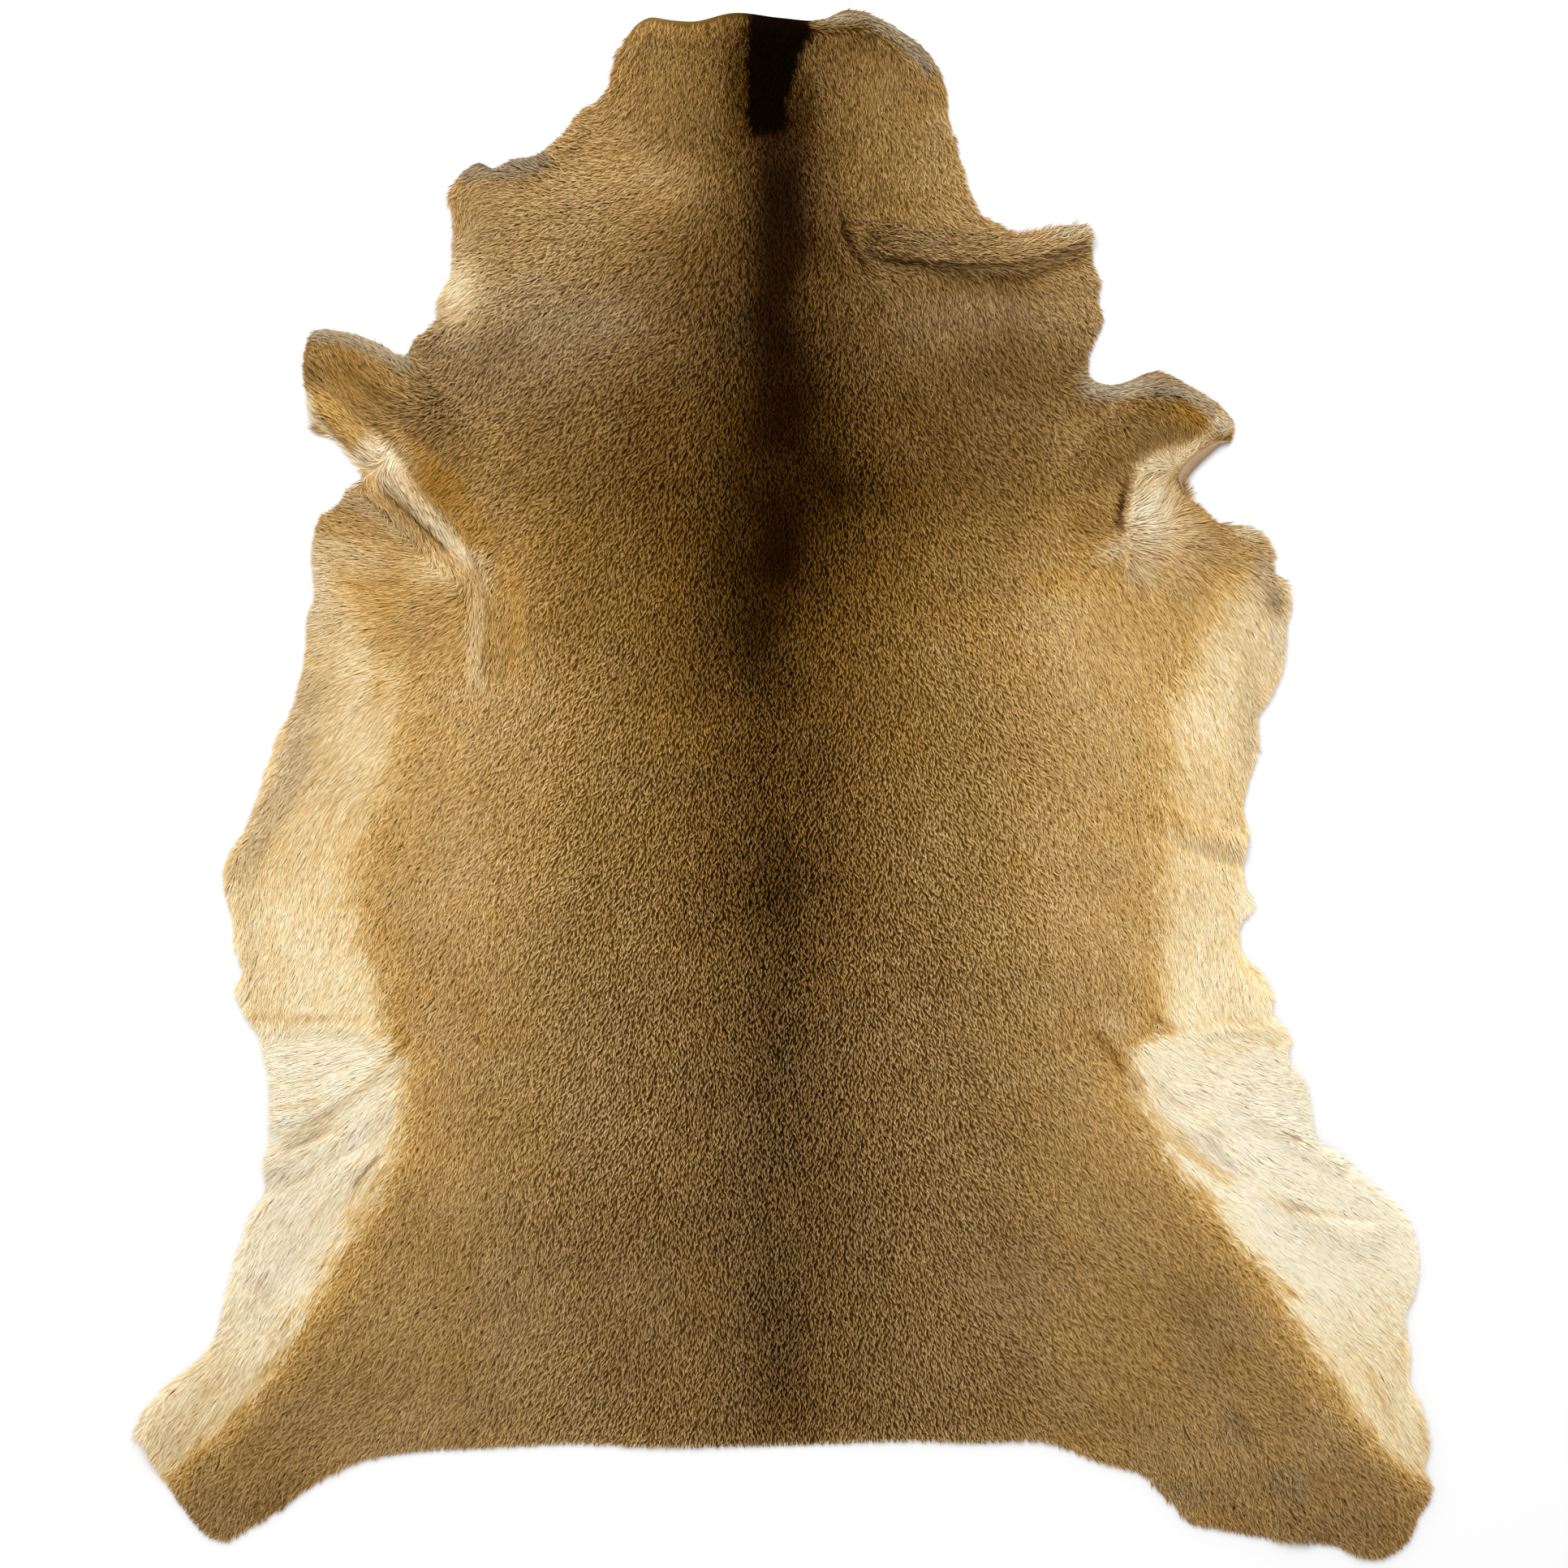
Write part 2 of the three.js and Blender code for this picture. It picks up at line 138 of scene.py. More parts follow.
# The folds. Columns: path, half width to its left and right as one walks along it, height,
# how far the crest leans to the right, how far it takes to rise at each end, and its size at
# the far end as a share of that at the near one. A rise of 0 means that it runs out over the rim.
FOLDS = [
    # The pleat across the right of the neck
    ([(58, 451), (89, 444), (123, 441), (163, 439), (199, 440), (229, 447), (258, 453)],
     31, 15, 15, 9, 30, 0, 0.6),
    # The rolled rims at the top of the neck
    ([(40, 626), (70, 622), (98, 606), (118, 582), (128, 552)], 14, 22, 5, 0, 30, 30, 1),
    ([(-252, 498), (-224, 502), (-200, 506), (-176, 524), (-150, 556)], 13, 18, 4.5, 0, 22, 30, 1),
    # The left foreleg, its slack rear edge and the ridge that runs on from the armpit
    ([(-392, 346), (-357, 342), (-324, 326), (-291, 299), (-258, 266), (-238, 238)],
     36, 27, 12.5, 0, 12, 90, 1),
    ([(-386, 318), (-359, 292), (-334, 268), (-314, 247), (-294, 225), (-270, 198)],
     24, 14, 9.5, 1, 20, 34, 0.8),
    ([(-384, 334), (-350, 312), (-318, 284), (-290, 256), (-264, 228)], 42, 42, 7, 0, 12, 70, 1),
    ([(-256, 208), (-242, 180), (-236, 148), (-238, 112), (-246, 78)], 18, 11, 5, 3, 22, 40, 1),
    # The right foreleg and the ridge of pale hair over the armpit
    ([(366, 304), (340, 308), (308, 306), (276, 288), (246, 258), (226, 224)],
     30, 27, 13, 0, 14, 70, 1),
    ([(304, 262), (296, 240), (291, 214), (290, 186), (296, 156)], 26, 12, 6, 2, 14, 34, 1),
    # The crease across the left flank and the fan of wrinkles below it
    ([(-452, -190), (-422, -195), (-384, -194), (-348, -198), (-318, -212)], 17, 15, 1.5, 0, 0, 30, 1),
    ([(-298, -206), (-322, -226), (-350, -246), (-388, -266), (-430, -280)], 16, 14, 3.2, 1, 26, 0, 1),
    ([(-306, -240), (-334, -268), (-368, -292), (-404, -310), (-436, -318)], 17, 15, 3.2, 1, 26, 0, 1),
    ([(-330, -292), (-352, -316), (-380, -344), (-408, -374), (-438, -410)], 20, 18, 3, 0, 30, 20, 1),
    # The creases of the right flank
    ([(292, -10), (320, -28), (350, -42), (392, -54)], 14, 16, 4, 0, 30, 0, 1),
    ([(310, -186), (338, -198), (362, -196), (392, -198), (424, -200)], 12, 12, 1.0, 0, 26, 0, 1),
    ([(330, -262), (362, -292), (396, -324), (426, -350), (462, -368), (504, -374)],
     17, 18, 2.8, -1, 30, 30, 1),
    ([(348, -240), (380, -266), (412, -288), (450, -308)], 15, 14, 2.6, 0, 30, 0, 1),
    # The long low folds down the two hind legs
    ([(-388, -400), (-410, -440), (-444, -478), (-484, -520), (-524, -556)], 24, 24, 4, 0, 50, 0, 1),
    ([(366, -496), (388, -526), (402, -556), (412, -590), (422, -636)], 22, 22, 4, 0, 40, 0, 1),
]
BOLD_FOLD, BOLD_REACH = 7, 1.2  # a fold higher than this has the finest points, out to this

# The rear edge of the right foreleg is curled up and over. The skin bends to the right of this
# path, on a radius, until it has turned by turn radians. Past clear, nothing is moved. The points
# of the skin are close together out to fine.
CURL_PATH = [(320, 243), (327, 252), (334, 261), (342, 269), (352, 278), (364, 289)]
CURL = {"radius": 4.0, "turn": 2.75, "reach": 21, "clear": 27, "fade_in": 9, "fade_out": 12, "fine": 26}

# Fine creases in the coat, with painted shade along them. Columns: path, half width, how far it
# sinks the hair, how much darker the painted shade makes it, and how far it takes to fade at its two ends.
CREASE_STEP = 4.0
CREASES = [
    # Round the blunt end of the pleat, under its lip and along the valley above it
    ([(50, 472), (51, 458), (56, 443), (64, 428), (78, 414)], 4, 3.5, 0.22, 14),
    ([(86, 437), (112, 424), (140, 419), (176, 416), (212, 420), (236, 431), (252, 441)], 8, 4.5, 0.24, 20),
    ([(56, 477), (103, 477), (123, 474), (143, 469), (160, 468)], 8, 2.5, 0.07, 20),
    ([(76, 611), (83, 577)], 5, 2.5, 0.08, 14),
    # The left foreleg's inner crease, the crack behind it and the groove below the armpit
    ([(-347, 311), (-337, 297), (-326, 283), (-316, 269), (-309, 257), (-304, 243)], 4, 3, 0.15, 18),
    ([(-338, 244), (-322, 234), (-304, 219), (-286, 202), (-271, 189)], 2.6, 4, 0.42, 16),
    ([(-264, 184), (-251, 167), (-245, 147), (-245, 117)], 5, 3, 0.12, 24),
    # The right armpit
    ([(289, 262), (281, 245), (277, 222), (275, 202)], 5, 3, 0.5, 14),
    # The left flank and the wrinkles of its stifle
    ([(-444, -191), (-417, -195), (-377, -193), (-351, -196), (-334, -203)], 4, 1.5, 0.15, 14),
    ([(-301, -208), (-324, -224), (-351, -253), (-377, -271), (-404, -286), (-424, -303)],
     3.6, 3, 0.17, 30),
    ([(-334, -234), (-320, -221), (-304, -208)], 2.2, 2.5, 0.26, 10),
    ([(-424, -248), (-391, -243), (-351, -228), (-330, -222)], 3.5, 2, 0.11, 26),
    ([(-426, -268), (-404, -267), (-372, -258)], 3, 2, 0.14, 18),
    ([(-431, -316), (-404, -300), (-377, -289), (-350, -266)], 3.5, 2, 0.13, 30),
    ([(-357, -334), (-345, -319), (-331, -303)], 1.8, 2.5, 0.45, 5),
    ([(-424, -338), (-396, -322), (-368, -296)], 3.5, 1.5, 0.11, 26),
    # The right flank and its stifle
    ([(296, -13), (316, -26), (356, -43), (373, -53)], 5, 2, 0.1, 24),
    ([(296, -186), (319, -200), (341, -199), (371, -195), (404, -199)], 3.5, 1.5, 0.15, 14),
    ([(249, -199), (276, -229), (291, -253), (296, -268)], 5, 3, 0.24, 20),
    ([(302, -250), (326, -264), (352, -282), (382, -315), (408, -341), (452, -359)], 3.4, 2.5, 0.17, 24),
    ([(318, -284), (348, -312), (372, -340), (396, -356)], 5, 2, 0.12, 26),
    ([(356, -303), (396, -336), (423, -349), (463, -357), (500, -360)], 4, 2.5, 0.14, 30),
    ([(412, -287), (427, -295)], 2.2, 3, 0.4, 4),
    # The hind legs
    ([(363, -503), (389, -539)], 4, 2, 0.1, 16),
    ([(476, -476), (490, -503), (503, -529)], 3, 2, 0.16, 16),
    ([(-427, -436), (-421, -413)], 3, 2, 0.12, 12),
    ([(-511, -536), (-451, -483)], 4, 2, 0.09, 26),
]

# Which way the hair lies. Columns: x, y, heading in degrees (0 to the right, 90 to the neck)
# and reach. Away from these places it lies down the back and slants out to the sides.
LAY = [
    # The left of the neck and the cheek
    (-200, 497, 158, 42), (-246, 500, 215, 22), (-262, 470, 300, 22), (-232, 452, 188, 35),
    (-262, 405, 215, 25), (-150, 470, 208, 42), (-177, 411, 218, 50), (-177, 344, 232, 60),
    (-235, 350, 225, 45),
    # The left foreleg and the band behind it
    (-350, 335, 125, 30), (-372, 350, 110, 22), (-314, 325, 138, 24), (-292, 286, 222, 30),
    (-265, 235, 225, 30), (-230, 280, 228, 50), (-332, 262, 300, 13), (-302, 227, 312, 13),
    (-276, 206, 315, 13),
    # The left flank, which streams out of the armpit
    (-311, 204, 165, 22), (-357, 217, 160, 26), (-344, 177, 172, 30), (-377, 137, 195, 30),
    (-297, 160, 182, 22), (-278, 128, 218, 22), (-324, 111, 205, 34), (-377, 77, 215, 36),
    (-271, 98, 238, 28), (-238, 140, 268, 14), (-222, 110, 262, 22), (-330, 30, 225, 45),
    (-410, 0, 230, 45), (-277, -23, 240, 50),
    (-391, -123, 256, 45), (-430, -100, 262, 35), (-360, -60, 245, 40), (-340, -150, 238, 32),
    (-400, -185, 262, 16),
    # The fan at the left stifle and the hind leg
    (-390, -215, 187, 20), (-340, -224, 200, 20), (-400, -250, 190, 24), (-350, -262, 210, 26),
    (-330, -300, 228, 28), (-400, -300, 214, 32), (-380, -350, 228, 34), (-420, -380, 240, 30),
    (-360, -370, 238, 32), (-430, -450, 238, 45), (-480, -520, 232, 50),
    (-244, -156, 250, 60), (-277, -289, 246, 50), (-211, -356, 252, 60), (-300, -420, 240, 60),
    (-400, -520, 228, 50), (-460, -575, 240, 40),
    # The right of the neck, the pleat and the shoulder
    (100, 520, 280, 60), (136, 490, 312, 24), (130, 560, 292, 30), (88, 442, 330, 22),
    (150, 438, 345, 24), (205, 440, 356, 22), (243, 450, 18, 18), (150, 392, 278, 36),
    (236, 398, 305, 32), (240, 360, 300, 30), (189, 344, 298, 55), (243, 297, 310, 45),
    (200, 260, 303, 50),
    # The right foreleg and the fan behind it
    (290, 312, 310, 26), (340, 304, 282, 24), (328, 285, 275, 22), (358, 292, 50, 12),
    (300, 268, 300, 18), (345, 268, 250, 14), (296, 246, 52, 13), (302, 222, 25, 15),
    (298, 203, 350, 13), (310, 188, 322, 16), (330, 232, 28, 18), (342, 205, 356, 24),
    (382, 200, 345, 24), (400, 175, 315, 22), (350, 165, 312, 30), (395, 130, 300, 30),
    (255, 198, 335, 16), (243, 164, 300, 30), (243, 111, 292, 40), (300, 130, 300, 34),
    (343, 100, 297, 40), (390, 80, 290, 30),
    # The right flank, its stifle and the hind leg
    (343, 20, 290, 50), (300, -60, 292, 55), (360, -60, 285, 45), (376, -140, 275, 35),
    (340, -170, 285, 28), (323, -212, 330, 20), (370, -225, 342, 28), (410, -250, 346, 26),
    (350, -255, 335, 26), (400, -290, 344, 28), (330, -290, 314, 24), (370, -320, 322, 28),
    (440, -340, 330, 32), (490, -360, 325, 30), (440, -390, 326, 34), (490, -430, 314, 34),
    (450, -440, 316, 30), (490, -520, 305, 40), (223, -156, 292, 60), (256, -289, 303, 50),
    (300, -380, 310, 50), (400, -480, 308, 55), (480, -590, 300, 45), (350, -570, 290, 40),
]
# Where the hair lies along a line. Columns: path, distance to which it does so, strength.
COMBED = [
    ([(-340, 272), (-362, 292), (-388, 316)], 20, 0.9),
    ([(-318, 250), (-300, 232), (-276, 206), (-254, 176), (-246, 130), (-250, 80)], 17, 0.85),
    ([(-345, 248), (-318, 224), (-292, 198), (-272, 180)], 9, 0.7),
    ([(64, 452), (120, 441), (170, 438), (215, 443), (256, 455)], 22, 0.8),
    ([(300, 262), (322, 262), (342, 278), (362, 296)], 12, 0.8),
    ([(26, 628), (66, 629), (93, 613), (117, 589), (127, 570)], 13, 0.85),
    ([(308, 226), (318, 242), (334, 263), (352, 280), (366, 292)], 15, 0.9),
    ([(-300, 340), (-322, 352), (-354, 365), (-388, 364)], 15, 0.9),
    ([(236, 336), (268, 328), (309, 329), (336, 317), (356, 302)], 17, 0.85),
]
# Where the rim is smooth, with hardly any ragged hair. Columns: x, y, reach.
SLEEK = [
    (-100, 628, 30), (-55, 632, 34), (-5, 632, 34), (42, 634, 34), (84, 622, 28), (112, 598, 26),
    (130, 566, 24), (-248, 506, 24), (-214, 512, 26), (-392, 352, 24), (-362, 370, 30),
    (-322, 356, 28), (264, 328, 24), (300, 338, 28), (334, 326, 26), (358, 306, 22),
    (360, 276, 22), (342, 256, 22), (324, 238, 18), (-394, 326, 18),
]
SLEEK_FADE = (0.7, 1.2)  # of the reach
SLEEK_SHARE, SLEEK_INSET = 0.9, 0.3  # how much less ragged it is there, and the share of the inset
LAY_SIGHT = 3  # a place of the lay counts out to this many times its reach
LAY_BASE = 0.06  # how much the plain lay of the back counts beside those places
SLANT = 36  # degrees that the hair slants outwards on the sides of the back
SLANT_FROM, SLANT_TO = 20, 230  # distances from the spine over which it comes to that

# The brown coat along the back. Columns: y, x of the spine, tone at the spine, beside it and on
# the flank, the distance from the spine at which that is reached, warmth of the back and the flank.
SPINE_X = -4
SPINE_CORE, SPINE_BESIDE = 4, 45  # distances from the spine over which it gives way
BACK = [
    (640, -8, 0.16, 0.3, 0.47, 125, 0.6, 0.64), (577, -8, 0.12, 0.31, 0.48, 120, 0.6, 0.64),
    (497, -4, 0.07, 0.3, 0.53, 125, 0.6, 0.62), (444, -4, 0.05, 0.24, 0.51, 150, 0.6, 0.56),
    (411, -6, 0.06, 0.24, 0.5, 170, 0.6, 0.46), (377, -8, 0.07, 0.21, 0.48, 190, 0.6, 0.42),
    (311, -2, 0.08, 0.17, 0.43, 230, 0.7, 0.54), (244, 0, 0.09, 0.105, 0.46, 250, 0.76, 0.66),
    (177, -12, 0.07, 0.16, 0.58, 260, 0.76, 0.72), (111, -20, 0.12, 0.22, 0.62, 260, 0.76, 0.72),
    (44, -6, 0.2, 0.26, 0.62, 260, 0.74, 0.72), (-23, -6, 0.2, 0.26, 0.615, 260, 0.68, 0.72),
    (-89, -4, 0.13, 0.235, 0.605, 255, 0.66, 0.7), (-156, -4, 0.21, 0.28, 0.56, 260, 0.62, 0.68),
    (-223, -4, 0.23, 0.32, 0.55, 270, 0.56, 0.68), (-356, -4, 0.25, 0.29, 0.51, 290, 0.54, 0.62),
    (-489, -2, 0.23, 0.31, 0.48, 290, 0.54, 0.58), (-525, -2, 0.24, 0.32, 0.47, 290, 0.56, 0.56),
    # The row at -548 is lighter than its neighbours: painted light that makes up for the shade on the
    # short, low tufts of the bottom rim.
    (-548, -2, 0.34, 0.41, 0.48, 290, 0.56, 0.56),
    (-640, -2, 0.24, 0.32, 0.43, 290, 0.56, 0.56),
]
# How crisp the strokes of the brown coat are. Columns: y, at the spine, on the flank.
GRAIN = [
    (640, 0.44, 0.44), (420, 0.55, 0.5), (330, 0.8, 0.6), (240, 0.9, 0.5), (100, 0.95, 0.34),
    (0, 1.2, 0.3), (-100, 1.35, 0.3), (-300, 1.35, 0.34), (-450, 1.2, 0.36), (-545, 1.1, 0.34),
]
GRAIN_FROM, GRAIN_TO = 110, 290  # distances from the spine over which it changes
WARMER = 0.08  # added to the warmth of all the brown hair

# Where the brown coat gives way to the cream belly. Columns: y, x.
LEFT_CREAM = [
    (205, -384), (177, -362), (140, -342), (100, -332), (77, -326), (44, -318), (4, -322),
    (-23, -340), (-76, -358), (-96, -360), (-116, -347), (-156, -333), (-203, -332),
    (-229, -311), (-256, -313), (-303, -322), (-343, -345), (-376, -359), (-409, -376),
    (-449, -403), (-489, -430), (-529, -463), (-566, -511),
]
RIGHT_CREAM = [
    (190, 396), (164, 366), (131, 342), (91, 328), (57, 319), (17, 316), (-23, 313),
    (-89, 306), (-136, 309), (-183, 314), (-204, 310), (-216, 288), (-229, 281), (-244, 285),
    (-256, 292), (-270, 299), (-289, 311), (-316, 329), (-336, 344), (-383, 381), (-416, 408),
    (-463, 436), (-509, 463), (-543, 489), (-576, 529),
]
# The cream itself. Columns: y, tone and warmth on the left, tone and warmth on the right, and
# how far it takes to come in.
CREAM = [
    (200, 0.66, 0.56, 0.62, 0.5, 16), (130, 0.74, 0.62, 0.78, 0.6, 20),
    (60, 0.77, 0.72, 0.83, 0.76, 22), (-20, 0.78, 0.76, 0.78, 0.82, 22),
    (-110, 0.8, 0.76, 0.82, 0.8, 18), (-190, 0.86, 0.8, 0.88, 0.86, 14),
    (-222, 0.93, 0.54, 0.94, 0.66, 14), (-270, 0.89, 0.48, 0.96, 0.5, 15),
    (-330, 0.85, 0.44, 0.97, 0.48, 14), (-400, 0.88, 0.48, 0.96, 0.5, 12),
    (-470, 0.84, 0.56, 0.86, 0.74, 10), (-560, 0.81, 0.52, 0.8, 0.62, 9),
]
TAN_BAND, GLOW = 26, 17  # widths of the orange-tan band on its brown side and on its cream side
TAN_TONE, TAN_WARMTH = 0.63, 0.92

# Patches of colour. Columns: x, y, half length, half width, turn in degrees, tone, warmth, strength.
PATCHES = [
    # The neck
    (-88, 556, 26, 46, 0, 0.35, 0.6, 0.7), (-110, 497, 40, 26, 0, 0.57, 0.6, 0.7),
    (-95, 580, 26, 34, 0, 0.52, 0.6, 0.6), (-170, 470, 45, 30, 0, 0.53, 0.46, 0.6),
    (-36, 575, 13, 46, 0, 0.13, 0.75, 0.8), (-74, 592, 18, 36, 0, 0.32, 0.66, 0.5),
    (15, 552, 10, 30, 0, 0.11, 0.75, 0.7),
    (50, 614, 26, 20, 0, 0.29, 0.6, 0.7), (-262, 448, 12, 20, 0, 0.56, 0.4, 0.8),
    (-268, 400, 24, 36, 8, 0.8, 0.55, 0.95), (-237, 385, 26, 16, 20, 0.6, 0.48, 0.5),
    (92, 540, 34, 60, 0, 0.44, 0.56, 0.5), (128, 520, 16, 34, 0, 0.5, 0.48, 0.6),
    (205, 446, 34, 14, 0, 0.58, 0.44, 0.8), (236, 458, 19, 13, 0, 0.66, 0.05, 0.9),
    (120, 442, 40, 18, 0, 0.47, 0.4, 0.7), (237, 395, 22, 28, 0, 0.5, 0.6, 0.7),
    # (160, 408) here is painted shadow: a dark strip under the lip of the pleat.
    (149, 380, 56, 20, 0, 0.42, 0.34, 0.7), (160, 408, 70, 10, 0, 0.32, 0.55, 0.6),
    # The shoulders
    (-237, 351, 70, 34, 0, 0.42, 0.28, 0.6), (-165, 385, 46, 26, 0, 0.5, 0.24, 0.5),
    (195, 342, 80, 34, 0, 0.31, 0.55, 0.7), (150, 280, 60, 60, 0, 0.29, 0.62, 0.5),
    (262, 266, 40, 26, -40, 0.46, 0.66, 0.6),
    # The left foreleg
    (-350, 330, 44, 26, -42, 0.45, 0.72, 0.85), (-372, 310, 22, 10, -50, 0.56, 0.82, 0.7),
    (-376, 338, 17, 17, 0, 0.52, 0.68, 0.7),
    (-286, 250, 40, 17, -46, 0.45, 0.95, 0.8), (-255, 205, 20, 16, -40, 0.47, 0.95, 0.7),
    (-222, 140, 9, 48, 0, 0.55, 0.9, 0.8), (-218, 90, 16, 40, 0, 0.59, 0.8, 0.5),
    # The left flank
    # The first two here are painted shade, grey, on the left of the crack behind the left foreleg.
    (-350, 232, 30, 10, -30, 0.55, 0.26, 0.8), (-315, 208, 26, 9, -38, 0.58, 0.36, 0.7),
    (-358, 188, 40, 18, -6, 0.7, 0.48, 0.7), (-288, 177, 26, 14, -14, 0.72, 0.66, 0.8),
    (-312, 120, 36, 22, 0, 0.57, 0.68, 0.6), (-384, 160, 11, 44, 0, 0.77, 0.4, 0.6),
    (-331, 40, 60, 8, 78, 0.82, 0.78, 0.6), (-245, 145, 24, 40, 0, 0.62, 0.84, 0.4),
    (-437, -130, 10, 40, 5, 0.76, 0.5, 0.6),
    (-387, -192, 60, 4, 0, 0.72, 0.56, 0.5), (-390, -120, 34, 40, 0, 0.88, 0.72, 0.5),
    # These two are painted shade, grey-mauve, along the wrinkles of the left stifle.
    (-391, -290, 26, 9, 32, 0.68, 0.14, 0.8), (-417, -316, 26, 8, 34, 0.8, 0.1, 0.5),
    (-329, 262, 27, 20, -45, 0.9, 0.46, 0.95), (-357, 281, 30, 9, -54, 0.75, 0.52, 0.7),
    (-345, -345, 16, 24, -30, 0.78, 0.76, 0.5),
    (-286, -290, 26, 70, 10, 0.57, 0.72, 0.6), (-433, -426, 14, 30, -20, 0.76, 0.26, 0.4),
    (-490, -512, 44, 15, 38, 0.77, 0.5, 0.6), (-505, -540, 26, 14, 45, 0.69, 0.48, 0.6),
    # The right foreleg
    (256, 334, 14, 10, 0, 0.62, 0.02, 0.7), (318, 304, 40, 14, -8, 0.43, 0.8, 0.85),
    (342, 298, 16, 9, -30, 0.47, 1.0, 0.8), (360, 297, 9, 9, 0, 0.86, 0.22, 0.95),
    (332, 273, 32, 8, 42, 0.72, 0.5, 0.9), (308, 266, 22, 10, 34, 0.72, 0.34, 0.85),
    (296, 284, 24, 12, -20, 0.43, 0.66, 0.5), (294, 257, 9, 6, 30, 0.56, 0.34, 0.7),
    # The fan of pale hair behind it
    (300, 222, 20, 42, -4, 0.87, 0.4, 0.95), (322, 208, 24, 34, 0, 0.77, 0.52, 0.8),
    (272, 192, 15, 9, 22, 0.7, 0.38, 0.9), (273, 178, 7, 5, 0, 0.45, 0.66, 0.6),
    (296, 176, 14, 16, 0, 0.76, 0.54, 0.8), (250, 218, 18, 14, 0, 0.4, 0.72, 0.6),
    (352, 196, 34, 15, -6, 0.55, 0.5, 0.7), (384, 208, 16, 10, 0, 0.74, 0.08, 0.7),
    (396, 178, 14, 16, 0, 0.6, 0.18, 0.7), (403, 150, 9, 14, 0, 0.5, 0.14, 0.85),
    (330, 164, 26, 22, -30, 0.57, 0.6, 0.6), (405, 118, 10, 16, 0, 0.72, 0.22, 0.7),
    (222, 166, 26, 14, 0, 0.52, 0.9, 0.6), (250, 150, 34, 26, 0, 0.64, 0.82, 0.7),
    (270, 100, 44, 44, 0, 0.64, 0.74, 0.5),
    # The right flank
    (382, 50, 13, 56, 0, 0.71, 0.38, 0.8), (372, -213, 36, 9, 4, 0.82, 0.68, 0.6),
    (382, -100, 10, 20, 0, 0.9, 0.4, 0.6),
    (355, -50, 30, 8, -16, 0.76, 0.6, 0.5), (290, -100, 30, 60, 0, 0.63, 0.74, 0.5),
    (268, -222, 26, 8, -48, 0.52, 0.7, 0.5), (274, -198, 16, 10, -30, 0.66, 0.6, 0.7),
    # Of these, (290, -246), (354, -302), (328, -290), (316, -264) and (408, -350) are painted shade: grey
    # lines along the folds of the right stifle.
    (290, -246, 8, 5, -50, 0.62, 0.4, 0.6), (354, -302, 24, 8, -42, 0.74, 0.2, 0.75),
    (328, -290, 14, 8, -44, 0.78, 0.3, 0.5), (316, -264, 14, 12, 30, 0.84, 0.24, 0.5),
    (408, -350, 40, 6, -22, 0.88, 0.3, 0.3), (-110, -430, 60, 60, 0, 0.4, 0.5, 0.4),
    (262, -290, 36, 60, -20, 0.57, 0.7, 0.4), (500, -500, 14, 44, 8, 0.8, 0.54, 0.5),
    (524, -545, 8, 30, 0, 0.74, 0.56, 0.5),
    # The hindquarters
    (-217, -420, 40, 52, 0, 0.49, 0.38, 0.5), (182, -415, 40, 36, 0, 0.45, 0.38, 0.5),
    (-410, -590, 34, 26, 30, 0.38, 0.54, 0.6), (-470, -600, 22, 18, 0, 0.42, 0.44, 0.5),
    (330, -582, 40, 9, -20, 0.46, 0.6, 0.5), (330, -583, 26, 12, 0, 0.4, 0.18, 0.5),
    (370, -530, 12, 22, 25, 0.42, 0.16, 0.5), (415, -576, 18, 16, 0, 0.42, 0.16, 0.5),
    (230, -540, 34, 7, 0, 0.46, 0.74, 0.6), (350, -603, 16, 8, 0, 0.48, 0.72, 0.6),
    (470, -560, 34, 22, -45, 0.47, 0.5, 0.5), (455, -610, 40, 20, 0, 0.38, 0.34, 0.5),
    (346, -440, 50, 34, -45, 0.4, 0.52, 0.5),
]

# Bands of colour along a line. Columns: path, half width, tone, warmth, strength, and how far it
# takes to come in at each end.
BANDS = [
    # The grey rims of the neck, of the cheek and of the two forelegs
    ([(20, 630), (49, 631), (66, 630), (79, 624), (93, 615), (106, 604), (117, 591), (126, 577)],
     7, 0.49, 0.0, 0.9, 14),
    ([(-266, 492), (-259, 504), (-244, 506), (-227, 507), (-207, 511), (-190, 520)],
     9, 0.44, 0.0, 0.85, 10),
    ([(-390, 364), (-381, 368), (-369, 368), (-354, 364), (-337, 357), (-322, 350), (-304, 342)],
     9, 0.53, 0.0, 0.9, 8),
    ([(240, 330), (257, 326), (275, 324), (296, 326), (312, 324), (326, 318)], 11, 0.53, 0.0, 0.9, 10),
    ([(314, 324), (336, 316), (348, 308), (357, 302)], 7, 0.55, 0.0, 0.85, 8),
    # The golden rear edge of the left foreleg, its thin pale rim and the pale band that runs on
    ([(-388, 320), (-371, 303), (-357, 289), (-343, 276)], 9, 0.57, 0.82, 0.8, 10),
    ([(-393, 326), (-389, 311), (-381, 297), (-369, 281), (-357, 266), (-347, 254)],
     5, 0.82, 0.36, 0.85, 8),
    ([(-352, 281), (-334, 263), (-317, 245), (-300, 228), (-282, 208), (-265, 191), (-253, 174)],
     7.5, 0.76, 0.48, 0.9, 14),
    # The tan edge of the left flank, and the pale part beside it
    ([(-388, 96), (-394, 50), (-404, 8), (-424, -28), (-442, -62), (-450, -90)], 14, 0.66, 0.42, 0.8, 16),
    ([(-350, 140), (-352, 90), (-352, 40), (-354, -10), (-352, -50)], 12, 0.83, 0.72, 0.5, 30),
    # The golden edge of the right stifle
    ([(290, -250), (300, -268), (314, -284), (334, -303), (354, -318), (378, -331)],
     6.5, 0.75, 0.86, 0.75, 16),
    # The ridge below the armpit
    ([(-262, 196), (-250, 178), (-250, 151), (-254, 124), (-254, 97), (-249, 70)], 9, 0.68, 0.58, 0.8, 16),
]

